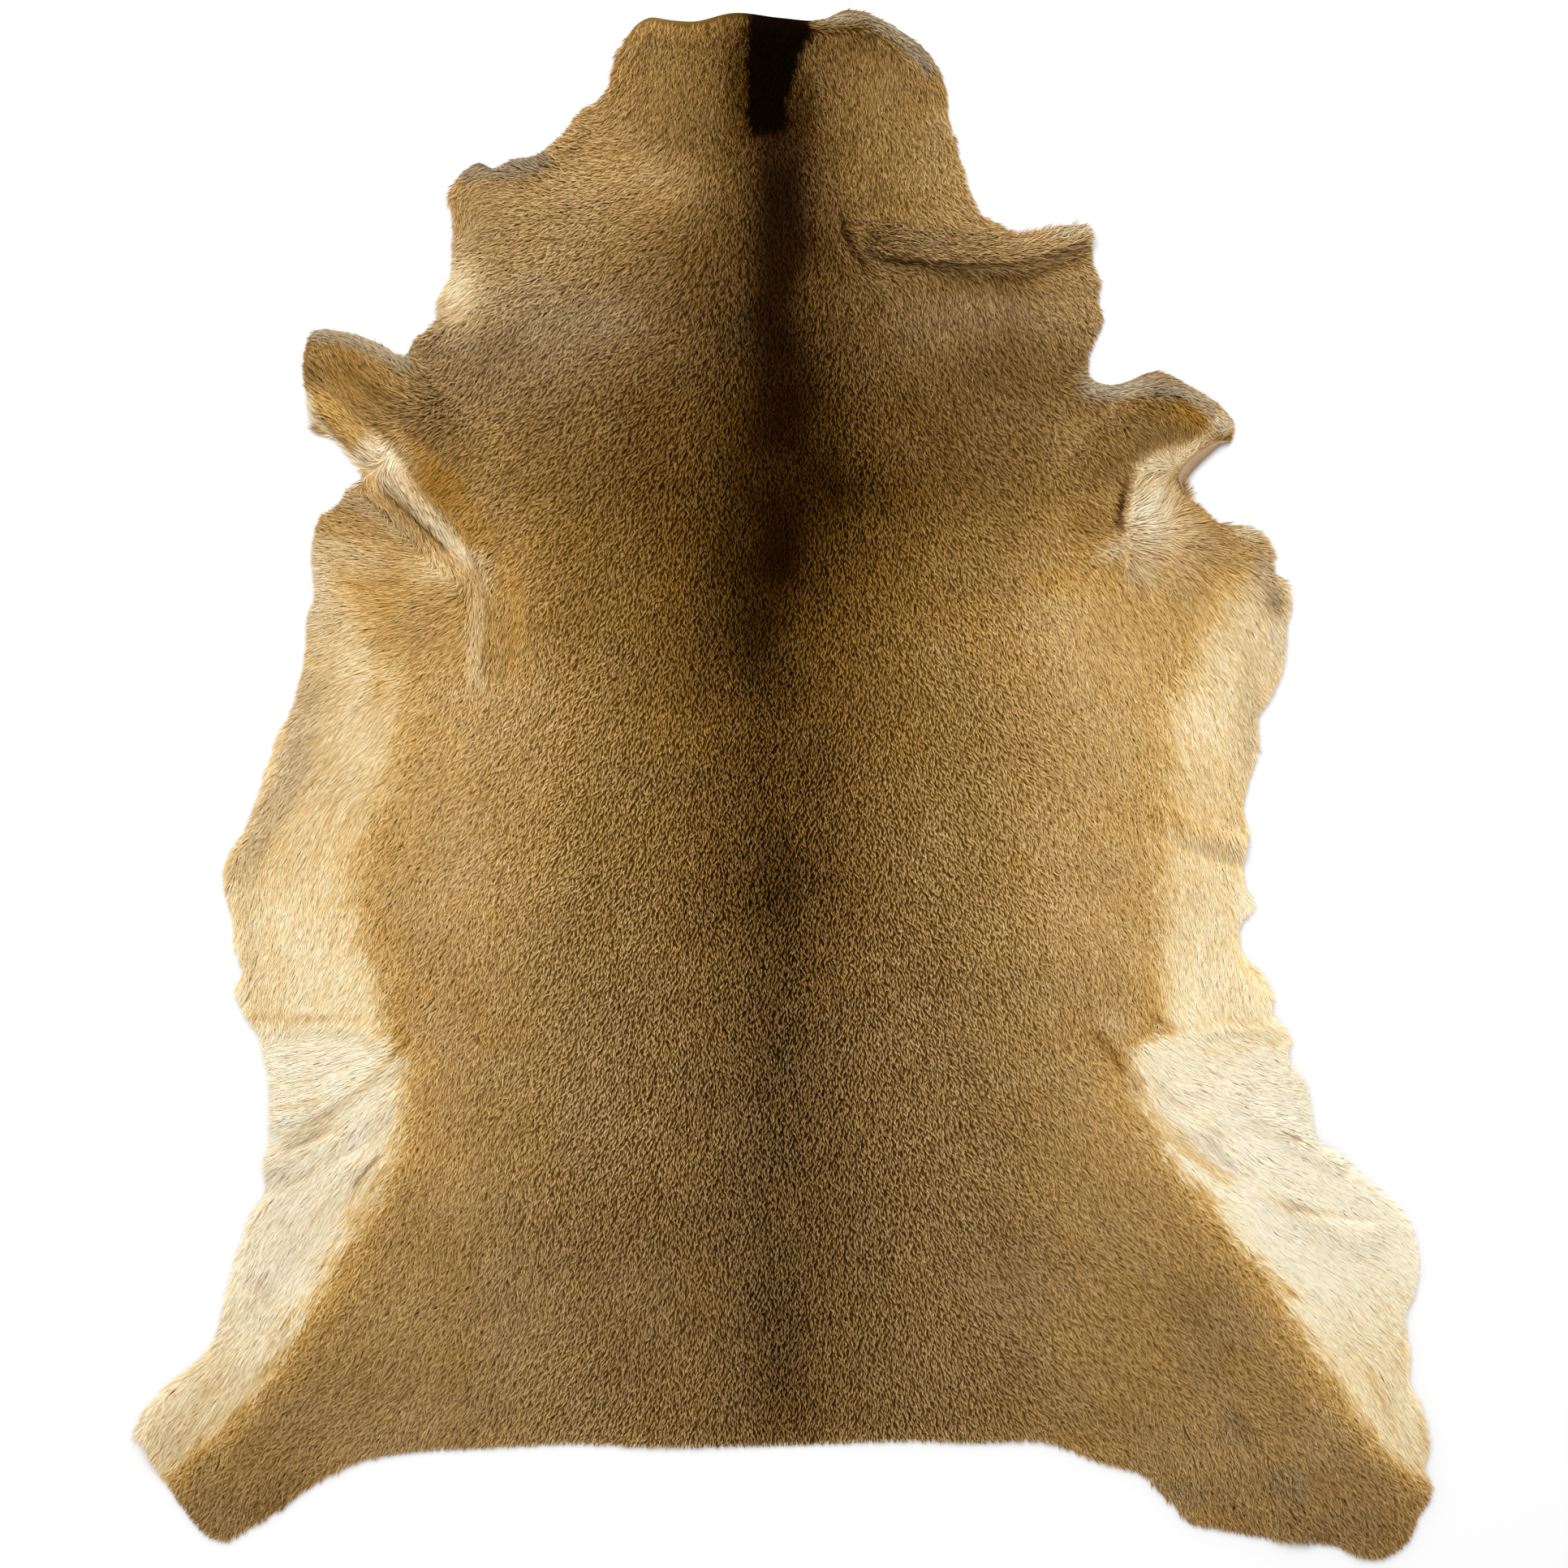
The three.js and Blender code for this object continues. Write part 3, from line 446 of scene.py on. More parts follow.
# Where the brown hair is as long and smooth as the cream. Columns: x, y, reach, strength.
SILKY = [
    (-350, 318, 46, 0.7), (-310, 245, 40, 1.0), (-330, 160, 70, 1.0), (-250, 130, 40, 0.8),
    (310, 300, 55, 0.6), (325, 215, 50, 1.0), (360, 150, 55, 1.0), (280, 130, 50, 0.7),
    (180, 440, 60, 0.5), (100, 590, 60, 0.4), (-120, 560, 60, 0.3), (-250, 470, 40, 0.5),
    (-330, -230, 40, 0.7), (320, -250, 40, 0.7), (-390, -80, 70, 0.6), (370, -60, 70, 0.6),
]

# The black patch at the nape. Columns of its right edge: y, x.
NAPE_LEFT = -30
NAPE_RIGHT = [(640, 22), (619, 26), (597, 13), (564, 4), (537, 3), (500, 3)]
NAPE_FOOT = (529, 542)
NAPE_TONE, NAPE_WARMTH = -0.02, 0.7

# The two families of hair colour, from dark to light. Columns: tone, red, green, blue of 255.
WARM_HAIR = [
    (0.02, 13, 5, 0), (0.12, 56, 27, 0), (0.2, 80, 49, 2), (0.3, 106, 73, 4),
    (0.42, 140, 99, 30), (0.583, 185, 139, 61), (0.707, 218, 174, 99),
    (0.848, 241, 212, 149), (1.0, 255, 248, 219),
]
COOL_HAIR = [
    (0.02, 11, 8, 5), (0.166, 52, 42, 30), (0.3, 88, 75, 58), (0.42, 122, 106, 84),
    (0.583, 163, 147, 122), (0.707, 194, 179, 152), (0.848, 226, 216, 192), (1.0, 250, 246, 234),
]

# How the strands are shared out among the pieces of the coat. Columns: name, lowest y, highest y,
# lowest x, highest x.
FAR = 2000
COAT_PIECES = [
    ("coat_neck", 330, FAR, -FAR, FAR),
    ("coat_shoulders", 120, 330, -FAR, FAR),
    ("coat_left_flank", -330, 120, -FAR, -110),
    ("coat_back", -330, 120, -110, 130),
    ("coat_right_flank", -330, 120, 130, FAR),
    ("coat_rump", -FAR, -330, -300, 280),
    ("coat_left_leg", -FAR, -330, -FAR, -300),
    ("coat_right_leg", -FAR, -330, 280, FAR),
]
PIECE_LIMIT = 200000  # triangles

SEED = 5
TINY = 1e-6
LINE_STEP = 6.0  # millimetres between the points of a line on the plan

# Smooth random patterns. Columns: size in millimetres, seed.
PATTERNS = {
    "swell": (95.0, 3), "cream_edge": (22.0, 4), "cream_frays": (7.0, 5), "spine": (40.0, 6),
    "nape": (8.0, 7), "creases": (9.0, 8), "mottle": (26.0, 9), "broad_mottle": (60.0, 10),
    "warmth": (34.0, 11), "drift": (5.5, 12), "waver": (30.0, 13), "streaks": (1.4, 20),
}
PATTERN_CELLS = 256
STREAK_STEP, STREAK_STEPS = 2.6, 5  # millimetres along the hair, and steps each way

# The mesh of the skin
RING_STEP = 5.0  # millimetres between the points of its rim
ROW_HEIGHT = 0.866  # of a lattice of equal triangles
OFF_PLACE = 0.15  # how far its points are off their places, of a step
CLEAR_OF_RIM = 0.6  # how far they keep from the rim, of a step
SAME_POINT = 1e-5
SLOPE_STEP = 0.5  # millimetres over which a slope is measured
# The undercoat is darker than the coat partly by its own colour and partly by painted shade under the thick
# coat.
ROOT_SHADE = (0.62, 0.92)  # tone of the undercoat, of that of the coat, where it is thick and thin
THIN_RIM = (4.0, 9.0)  # distances from the rim over which the coat gets thick

# Colours of the coat
PALE_TONES = (0.55, 0.80)  # from brown to pale hair
CREASE_REACH, CREASE_UNEVEN = 2.6, 0.25
EDGE_WANDER, EDGE_FRAYS, EDGE_STREAKS = 5.0, 2.5, 3.0  # millimetres by which the cream's edge strays
CREAM_FOOT, CREAM_TOP = (-600.0, -560.0), (178.0, 206.0)
TAN_TONE_SHARE, TAN_WARMTH_SHARE = 0.75, 0.8
CREAM_SPECKLE, PATCH_SPECKLE, NAPE_SPECKLE = 0.20, 0.32, 0.1
PALE_PATCH = 0.6  # a patch lighter than this is as little speckled as the cream
PATCH_REACH, PATCH_EDGE = 2.4, 1.3
BAND_STEP, BAND_REACH, BAND_EDGE = 5.0, 2.0, 4
SPINE_WANDER, FLANK_CURVE = 4.0, 0.75
NAPE_WANDER, NAPE_STREAKS, NAPE_EDGE = 3.0, 1.5, 4
NAPE_TOP_FADE, NAPE_TOP = (612.0, 630.0), 0.75
MOTTLE, BROAD_MOTTLE, WARM_MOTTLE = 0.018, 0.016, 0.05
WARMED_TONES = (0.1, 0.3)

# The tufts
SEEN_AT = 0.6  # share of a tuft's length at which its colour and its crease are looked up
LOWEST_TIP = 0.4  # millimetres over the floor
UPWARDS = 0.45  # tufts grow only where the hide's face is turned up by at least this much
RANK_STEP = 2  # the tufts of each row are lighter and darker in turn, this far along from the last
RANK_TONES = (1.35, -0.95, 0.95, -1.1, -0.25)
RIM_SIGHT = 30.0  # distances to the rim are worked out up to this
RIM_GAP = 0.3  # the least distance of a root from the edge of the skin
CRISP_GRAIN = (0.4, 1.2)  # from fine to crisp hair
LENGTHS, WIDTHS, DEPTHS = (0.75, 1.25), (0.75, 1.25), (0.85, 1.15)  # least and most, at random
TURN_OUT, TURN_OUT_REACH = 0.45, 6.0  # hair near the rim is combed out over it
LEAST_OUT = 0.1  # hair that points out less than this is never cut short at the rim
RIM_DEPTH, RIM_DEPTH_REACH = 0.25, 13.0  # the hair is lower near the rim
STEEP_DEPTH, STEEPNESS = 0.35, (0.3, 0.97)  # and where the hide is steep
LEAST_DEPTH, ROOT_DEPTH = 0.5, 0.2  # millimetres of the tip over the root, and of the root sunk
MIDDLE_LENGTH, MIDDLE_DEPTH, RIDGE = 0.45, 0.72, 0.22  # a tuft is widest there, and ridged
ROLL, WAVER = 10.0, 9.0  # degrees
RANDOM_TONE, RANDOM_WARMTH = 0.24, 0.05
SPECKLE_BASE, SPECKLE_GRAIN, PALE_TUFT_SPECKLE = 0.30, 0.80, 0.40
SPECKLED_TONES, STREAKED_TONES = (0.0, 0.2), (0.0, 0.3)
# Painted shade in the gaps between the locks of pale hair, and the streak values where it falls.
GAP_SHADE, GAP_STREAKS = 0.07, (1.4, 2.4)  # dark gaps between the locks of pale hair
HAIR_GAIN = 1.115  # a tuft's own tone over the tone of the coat, whose gaps are darker
# The tone at a tuft's root and tip, of that of its body. The darker root is partly the hair's own colour
# and partly painted shade from the tufts over it; the same holds for ROOT_TONE below.
PALE_ROOT_TONE, TIP_TONE = 0.95, 1.05
# How much greyer the painted shade of the creases makes pale hair.
CREASE_SHADE_COOLS = 1.1
MAP_WIDTH = 0.004  # keeps each triangle from being a mere line on the map, which bakes black
MAP_EDGES, TONE_EDGES = (0.02, 0.98), (0.02, 0.97)
# The same for fine and for crisp hair
RANK_DEPTH, ROOT_TONE = (0.06, 0.14), (0.80, 0.52)
# The same for brown and for pale hair
STRAY, DRIFT = (14.0, 4.5), (8.0, 5.0)  # degrees, for single tufts and for small patches of them
KIND_DEPTH, KIND_WIDTH, SIDE_BEND = (1.0, 0.8), (0.88, 0.8), (0.10, 0.05)
TILT_OF_ROLL, TILT_SPREAD = (0.4, 0.2), (0.05, 0.03)
STREAK_TONE, SIDE_TONE = (0.014, 0.022), (0.94, 0.99)

# Noise of the materials. Columns: scale, detail.
UNDERCOAT_GRAIN, SUEDE_CLOUDS, SUEDE_NAP = (700.0, 3.0), (9.0, 5.0), (420.0, 4.0)
UNDERCOAT_SPECKLE, NAP_SHARE = 0.12, 0.3
UNDERCOAT_BUMP, SUEDE_BUMP = (0.5, 0.0006), (0.4, 0.0004)  # strength, metres
# The suede's colour, from its stains to its pale scrapes. Columns: noise, brightness.
SUEDE_STOPS = [(0.30, 0.72), (0.48, 1.0), (0.66, 1.22)]

FLOOR_SIZE = 30.0
KEY_PLACE, KEY_SIZE = (-0.5, 1.7, 3.7), (3.4, 2.6)
SENSOR_WIDTH = 36.0  # millimetres


def metres(name, description, default):
    return bpy.props.FloatProperty(
        name=name, description=description, default=default, min=0.0, unit="LENGTH"
    )


def shade(name, description, default):
    return bpy.props.FloatVectorProperty(
        name=name, description=description, default=default, min=0.0, max=1.0, subtype="COLOR"
    )


def number(name, description, default):
    return bpy.props.FloatProperty(name=name, description=description, default=default)


class DeerhideSkin(bpy.types.PropertyGroup):
    leather: metres("Leather", "Thickness of the tanned skin", 0.002)
    inset: metres("Inset", "How far the skin stays inside the hairy outline", 0.0025)
    open_step: metres("Open step", "Spacing of the points where the hide lies flat", 0.008)
    fold_step: metres("Fold step", "Spacing of the points on the bold folds", 0.0036)
    swell: metres("Swell", "Height of the low unevenness of the hide", 0.002)
    suede: shade("Flesh side", "Colour of the bare side of the skin", (0.32, 0.215, 0.125))


class DeerhideCoat(bpy.types.PropertyGroup):
    spacing: metres("Spacing", "Distance between the roots of two tufts", 0.00144)
    short: metres("Short hair", "Length of the crisp brown hair along the back", 0.0052)
    fine: metres("Fine hair", "Length of the smooth brown hair of the neck and flanks", 0.0080)
    long: metres("Long hair", "Length of the cream hair", 0.0150)
    width: metres("Width", "Width of a tuft", 0.0013)
    depth: metres("Depth", "Height of the tips over the leather", 0.0042)
    fringe: metres("Fringe", "How far the longest tips reach over the outline", 0.0022)
    speckle: number("Speckle", "How much the tufts of the back differ in tone", 0.130)
    roughness: number("Roughness", "Roughness of the hair", 0.6)


class DeerhideStudio(bpy.types.PropertyGroup):
    frame_width: metres("Frame width", "Width of the picture at the height of the hide", 1.288)
    lens: number("Lens", "Focal length of the camera in millimetres", 85.0)
    key: number("Key light", "Power of the large light in watts", 165.0)
    fill: number("Fill light", "Strength of the light from all round", 0.74)
    floor: shade("Floor", "Colour of the floor", (0.74, 0.74, 0.74))


def smooth(value, low, high):
    share = np.clip((value - low) / (high - low), 0.0, 1.0)
    return share * share * (3.0 - 2.0 * share)


def blend(old, new, share):
    return old + (new - old) * share


def unit(vectors):
    return vectors / np.linalg.norm(vectors, axis=1)[:, None]


def clouds(x, y, pattern):
    """One of the smooth random patterns, from -1 to 1."""
    size, seed = PATTERNS[pattern]
    cells = PATTERN_CELLS
    grid = np.random.default_rng(seed).uniform(-1.0, 1.0, (cells, cells))
    u, v = x / size + cells / 2, y / size + cells / 2
    i, j = np.floor(u).astype(int), np.floor(v).astype(int)
    a, b = smooth(u - i, 0.0, 1.0), smooth(v - j, 0.0, 1.0)
    i, j, k, m = i % cells, j % cells, (i + 1) % cells, (j + 1) % cells
    near = blend(grid[j, i], grid[j, k], a)
    return blend(near, blend(grid[m, i], grid[m, k], a), b)


def through(points, step, closed=False):
    """A smooth line through the points, which stay on it, in steps of about one size."""
    corners = np.array(points, float)
    if closed:
        chain = np.vstack((corners[-1:], corners, corners[:2]))
    else:
        first, last = 2 * corners[0] - corners[1], 2 * corners[-1] - corners[-2]
        chain = np.vstack((first, corners, last))
    line = []
    for before, a, b, after in zip(chain, chain[1:], chain[2:], chain[3:]):
        gaps = [np.hypot(*(q - p)) ** 0.5 for p, q in ((before, a), (a, b), (b, after))]
        start = (a - before) / gaps[0] - (b - before) / (gaps[0] + gaps[1]) + (b - a) / gaps[1]
        end = (b - a) / gaps[1] - (after - a) / (gaps[1] + gaps[2]) + (after - b) / gaps[2]
        start, end = start * gaps[1], end * gaps[1]
        cuts = max(1, round(np.hypot(*(b - a)) / step))
        t = (np.arange(cuts) / cuts)[:, None]
        cubic = (2 * a - 2 * b + start + end) * t**3
        line.append(cubic + (3 * b - 3 * a - 2 * start - end) * t**2 + start * t + a)
    if not closed:
        line.append(corners[-1:])
    return np.vstack(line)


class Beside:
    """Where points lie beside a line: distance (endless past reach), along, right, and its way."""

    def __init__(self, line, x, y, reach):
        steps = np.diff(line, axis=0)
        lengths = np.hypot(steps[:, 0], steps[:, 1])
        ways = steps / lengths[:, None]
        starts = np.concatenate(([0.0], np.cumsum(lengths)))
        self.length = starts[-1]
        self.distance = np.full(x.shape, np.inf)
        self.along, self.right, self.ux, self.uy = np.zeros((4, *x.shape))
        low, high = line.min(axis=0) - reach, line.max(axis=0) + reach
        near = np.flatnonzero((x > low[0]) & (x < high[0]) & (y > low[1]) & (y < high[1]))
        near = near[np.argsort(y[near], kind="stable")]
        nx, ny = x[near], y[near]
        for a, way, length, start in zip(line, ways, lengths, starts):
            b = a + way * length
            first = np.searchsorted(ny, min(a[1], b[1]) - reach)
            last = np.searchsorted(ny, max(a[1], b[1]) + reach)
            px, py = nx[first:last], ny[first:last]
            hit = np.abs(px - (a[0] + b[0]) / 2) < reach + length / 2
            picked = near[first:last][hit]
            dx, dy = px[hit] - a[0], py[hit] - a[1]
            share = np.clip(dx * way[0] + dy * way[1], 0.0, length)
            dx, dy = dx - share * way[0], dy - share * way[1]
            distance = np.hypot(dx, dy)
            closer = distance < self.distance[picked]
            picked = picked[closer]
            side = np.sign(dx * way[1] - dy * way[0])[closer]
            self.distance[picked] = distance[closer]
            self.along[picked] = (start + share)[closer]
            self.right[picked] = side * distance[closer]
            self.ux[picked], self.uy[picked] = way

    def risen(self, fade_in, fade_out):
        """From 0 at the two ends of the line to 1 past the fades. A fade of 0 is left out."""
        rise = smooth(self.along, 0.0, fade_in) if fade_in else 1.0
        rest = self.length - self.along
        return rise * (smooth(rest, 0.0, fade_out) if fade_out else 1.0)


def beside(path, x, y, reach, step=LINE_STEP):
    return Beside(through(path, step), x, y, reach)


def inside(ring, x, y):
    odd = np.zeros(x.shape, bool)
    for a, b in zip(ring, np.roll(ring, -1, axis=0)):
        low, high = sorted((a[1], b[1]))
        if low == high:
            continue
        rows = np.flatnonzero((y > low) & (y <= high))
        crossing = a[0] + (y[rows] - a[1]) * (b[0] - a[0]) / (b[1] - a[1])
        odd[rows] ^= x[rows] < crossing
    return odd


def rim_line(step=LINE_STEP):
    return through([point for stretch in RIM.values() for point in stretch], step, closed=True)


def beside_rim(ring, x, y, reach):
    return Beside(np.vstack((ring, ring[:1])), x, y, reach)


def flesh_side(x, y, swell):
    """The underside of the hide over each place of its flat plan, in millimetres."""
    px, py = x.copy(), y.copy()
    squared = np.zeros(x.shape)
    for path, left, right, height, lean, fade_in, fade_out, narrow in FOLDS:
        place = beside(path, x, y, max(left, right))
        size = blend(1.0, narrow, place.along / place.length)
        reach = place.distance / (size * np.where(place.right > 0, right, left))
        lift = 0.5 + 0.5 * np.cos(np.pi * np.minimum(reach, 1.0))
        lift = lift * place.risen(fade_in, fade_out)
        squared += (height * size * lift) ** 2
        px += lean * size * lift * place.uy
        py -= lean * size * lift * place.ux
    low = 0.5 + 0.5 * clouds(x, y, "swell")
    pz = np.sqrt(squared) + swell * low
    return np.stack(curled(px, py, pz), axis=-1)


def curled(x, y, z):
    """Bends the rear edge of the right foreleg up and over."""
    place = beside(CURL_PATH, x, y, CURL["clear"])
    near = 1.0 - smooth(place.distance, CURL["reach"], CURL["clear"])
    bend = near * place.risen(CURL["fade_in"], CURL["fade_out"]) / CURL["radius"]
    bent = (place.right > 0) & (bend > 0)
    bend, right = np.where(bent, bend, 1.0), np.where(bent, place.right, 0.0)
    angle = np.minimum(bend * right, CURL["turn"])
    straight = right - angle / bend
    out = np.sin(angle) / bend + straight * np.cos(angle) - right
    rise = (1.0 - np.cos(angle)) / bend + straight * np.sin(angle)
    return x + out * place.uy, y - out * place.ux, z + rise


def hide_surface(x, y, swell):
    """The underside, its slopes along the plan's x and y, and the way that it faces."""
    point = flesh_side(x, y, swell)
    along_x = (flesh_side(x + SLOPE_STEP, y, swell) - point) / SLOPE_STEP
    along_y = (flesh_side(x, y + SLOPE_STEP, swell) - point) / SLOPE_STEP
    return point, along_x, along_y, unit(np.cross(along_x, along_y))


def crease_marks(x, y):
    """How far the fine creases sink the hair, in millimetres, and how much painted shade darkens it."""
    sink, dark = np.zeros(x.shape), np.zeros(x.shape)
    uneven = blend(1.0, clouds(x, y, "creases"), CREASE_UNEVEN)
    for path, width, depth, shadow, fade in CREASES:
        place = beside(path, x, y, CREASE_REACH * width, CREASE_STEP)
        shape = np.exp(-((place.distance / width) ** 2)) * place.risen(fade, fade) * uneven
        sink += depth * shape
        dark += shadow * shape
    return sink, dark


def hair_lay(x, y):
    """The way that the hair lies at each place of the plan, as a unit direction."""
    slant = np.radians(SLANT) * smooth(np.abs(x - SPINE_X), SLANT_FROM, SLANT_TO)
    vx = LAY_BASE * np.sin(slant) * np.sign(x - SPINE_X)
    vy = -LAY_BASE * np.cos(slant)
    for gx, gy, heading, reach in LAY:
        far = LAY_SIGHT * reach
        near = np.flatnonzero((np.abs(x - gx) < far) & (np.abs(y - gy) < far))
        weight = np.exp(-((x[near] - gx) ** 2 + (y[near] - gy) ** 2) / reach**2)
        vx[near] += weight * np.cos(np.radians(heading))
        vy[near] += weight * np.sin(np.radians(heading))
    length = np.maximum(np.hypot(vx, vy), TINY)
    vx, vy = vx / length, vy / length
    for path, reach, strength in COMBED:
        place = beside(path, x, y, reach)
        share = strength * (1.0 - smooth(place.distance, 0.5 * reach, reach))
        vx, vy = blend(vx, place.ux, share), blend(vy, place.uy, share)
    length = np.maximum(np.hypot(vx, vy), TINY)
    return vx / length, vy / length


def streaks(x, y):
    """Fine random values, about 1 in size, that stay alike along the lie of the hair."""
    total = clouds(x, y, "streaks")
    for way in (-1.0, 1.0):
        px, py = x, y
        for _ in range(STREAK_STEPS):
            vx, vy = hair_lay(px, py)
            px, py = px + way * STREAK_STEP * vx, py + way * STREAK_STEP * vy
            total = total + clouds(px, py, "streaks")
    return total / total.std()


def along_rows(rows, column, y):
    """A value of a table whose first column is y, between its rows."""
    table = sorted(rows)
    return np.interp(y, [row[0] for row in table], [row[column] for row in table])


def paleness(tone):
    return smooth(tone, *PALE_TONES)


def belly_share(x, y, ragged):
    """How much of the coat is cream at each place, and how near its brown edge is."""
    wander = EDGE_WANDER * clouds(x, y, "cream_edge") + EDGE_FRAYS * clouds(x, y, "cream_frays")
    left = along_rows(LEFT_CREAM, 1, y) - x
    right = x - along_rows(RIGHT_CREAM, 1, y)
    past = np.where(x < 0, left, right) + wander + EDGE_STREAKS * ragged
    ends = smooth(y, *CREAM_FOOT) * (1.0 - smooth(y, *CREAM_TOP))
    cream = smooth(past / along_rows(CREAM, 5, y), -1.0, 1.0) * ends
    band = np.exp(-((past / np.where(past < 0, TAN_BAND, GLOW)) ** 2)) * ends
    return cream, band


def nape_share(x, y, ragged):
    """How much of the coat is the black patch at the nape."""
    wander = NAPE_WANDER * clouds(x, y, "nape") + NAPE_STREAKS * ragged
    right = along_rows(NAPE_RIGHT, 1, y)
    across = smooth(x + wander, NAPE_LEFT - NAPE_EDGE, NAPE_LEFT + NAPE_EDGE)
    across = across * (1.0 - smooth(x + wander, right - NAPE_EDGE, right + NAPE_EDGE))
    top = blend(1.0, NAPE_TOP, smooth(y, *NAPE_TOP_FADE))
    return across * smooth(y + wander, *NAPE_FOOT) * top


def brown_coat(x, y):
    """The tone, the warmth and the speckle of the brown coat on its own."""
    middle, spine, by_spine, flank, far, warm_back, warm_flank = (
        along_rows(BACK, column, y) for column in range(1, 8)
    )
    distance = np.abs(x - middle + SPINE_WANDER * clouds(x, y, "spine"))
    out = np.clip((distance - SPINE_BESIDE) / (far - SPINE_BESIDE), 0.0, 1.0) ** FLANK_CURVE
    tone = blend(spine, by_spine, smooth(distance, SPINE_CORE, SPINE_BESIDE))
    tone = tone + (flank - by_spine) * out
    aside = smooth(distance, GRAIN_FROM, GRAIN_TO)
    speckle = blend(along_rows(GRAIN, 1, y), along_rows(GRAIN, 2, y), aside)
    return tone, blend(warm_back, warm_flank, out), speckle


def mix_in(coat, new, share, where=slice(None)):
    """Blends new values into the arrays of the coat, by a share."""
    for values, value in zip(coat, new):
        values[where] = blend(values[where], value, share)


def coat_colour(x, y, ragged=0.0):
    """The tone and the warmth of the hair at each place of the plan, and how speckled it is."""
    tone, warmth, speckle = coat = brown_coat(x, y)
    cream, band = belly_share(x, y, ragged)
    mix_in([tone], [TAN_TONE], TAN_TONE_SHARE * band)
    left, right = ([along_rows(CREAM, column, y) for column in pair] for pair in ((1, 2), (3, 4)))
    mix_in(coat, [*np.where(x < 0, left, right), CREAM_SPECKLE], cream)
    mix_in([warmth], [TAN_WARMTH], TAN_WARMTH_SHARE * band)
    for cx, cy, half_length, half_width, turn, new_tone, new_warmth, strength in PATCHES:
        wide = PATCH_REACH * max(half_length, half_width)
        hit = np.flatnonzero((np.abs(x - cx) < wide) & (np.abs(y - cy) < wide))
        dx, dy = x[hit] - cx, y[hit] - cy
        cos, sin = np.cos(np.radians(turn)), np.sin(np.radians(turn))
        u, v = (dx * cos + dy * sin) / half_length, (dy * cos - dx * sin) / half_width
        share = strength * np.exp(-((u * u + v * v) ** PATCH_EDGE))
        new_speckle = CREAM_SPECKLE if new_tone > PALE_PATCH else PATCH_SPECKLE
        mix_in(coat, (new_tone, new_warmth, new_speckle), share, hit)
    for path, half, new_tone, new_warmth, strength, fade in BANDS:
        place = beside(path, x, y, BAND_REACH * half, BAND_STEP)
        share = np.exp(-((place.distance / half) ** BAND_EDGE)) * place.risen(fade, fade)
        mix_in(coat, (new_tone, new_warmth, CREAM_SPECKLE), strength * share)
    mix_in(coat, (NAPE_TONE, NAPE_WARMTH, NAPE_SPECKLE), nape_share(x, y, ragged))
    tone += MOTTLE * clouds(x, y, "mottle") + BROAD_MOTTLE * clouds(x, y, "broad_mottle")
    warmth += WARM_MOTTLE * clouds(x, y, "warmth")
    warmth += WARMER * smooth(tone, *WARMED_TONES) * (1.0 - paleness(tone))
    return coat


def sleek(x, y):
    """How smooth the rim is near each place, from 0 to 1."""
    share = np.zeros(x.shape)
    for cx, cy, reach in SLEEK:
        away = np.hypot(x - cx, y - cy) / reach
        share = np.maximum(share, 1.0 - smooth(away, *SLEEK_FADE))
    return share


def silk(x, y):
    """How long and smooth the hair is, beyond what its tone makes it."""
    share = np.zeros(x.shape)
    for cx, cy, reach, strength in SILKY:
        share = np.maximum(share, strength * np.exp(-((x - cx) ** 2 + (y - cy) ** 2) / reach**2))
    return share


def skin_inset(skin, x, y):
    """How far inside the outline the skin ends, in millimetres."""
    return skin.inset / MM * blend(1.0, SLEEK_INSET, sleek(x, y))


class Wire:
    """A node's output. Arithmetic on it adds Math nodes, and node() adds any other node."""

    def __init__(self, tree, socket=None):
        self.tree = tree
        self.socket = socket

    def node(self, kind, settings=None, sockets=None, output=0):
        made = self.tree.nodes.new(kind)
        for name, value in (settings or {}).items():
            if name == "stops":
                self.fill_ramp(made.color_ramp, value)
            else:
                setattr(made, name, value)
        for key, value in (sockets or {}).items():
            if isinstance(value, Wire):
                self.tree.links.new(value.socket, made.inputs[key])
            else:
                made.inputs[key].default_value = value
        return Wire(self.tree, made.outputs[output]) if made.outputs else None

    @staticmethod
    def fill_ramp(ramp, stops):
        while len(ramp.elements) < len(stops):
            ramp.elements.new(1.0)
        for element, (position, colour) in zip(ramp.elements, stops):
            element.position = position
            element.color = (*colour, 1.0)

    def math(self, operation, first, second):
        return self.node("ShaderNodeMath", {"operation": operation}, {0: first, 1: second})

    def __add__(self, other):
        return self.math("ADD", self, other)

    def __sub__(self, other):
        return self.math("SUBTRACT", self, other)

    def __rsub__(self, other):
        return self.math("SUBTRACT", other, self)

    def __mul__(self, other):
        return self.math("MULTIPLY", self, other)

    __radd__ = __add__
    __rmul__ = __mul__


def new_material(name):
    material = bpy.data.materials.new(name)
    material.use_nodes = True
    material.node_tree.nodes.clear()
    return material, Wire(material.node_tree)


def surface(wire, colour, roughness, specular=0.0, **sockets):
    """Ends a material in a plain surface."""
    sockets.update({"Base Color": colour, "Roughness": roughness, "Specular IOR Level": specular})
    shader = wire.node("ShaderNodeBsdfPrincipled", sockets=sockets)
    wire.node("ShaderNodeOutputMaterial", sockets={"Surface": shader})


def noise(wire, scale, detail):
    place = wire.node("ShaderNodeTexCoord", output="Object")
    sockets = {"Vector": place, "Scale": scale, "Detail": detail}
    return wire.node("ShaderNodeTexNoise", sockets=sockets)


def bump(wire, height, strength, distance):
    sockets = {"Strength": strength, "Distance": distance, "Height": height}
    return wire.node("ShaderNodeBump", sockets=sockets)


def linear(value):
    """A colour value of 255 as shaders use it."""
    share = value / 255.0
    return share / 12.92 if share <= 0.04045 else ((share + 0.055) / 1.055) ** 2.4


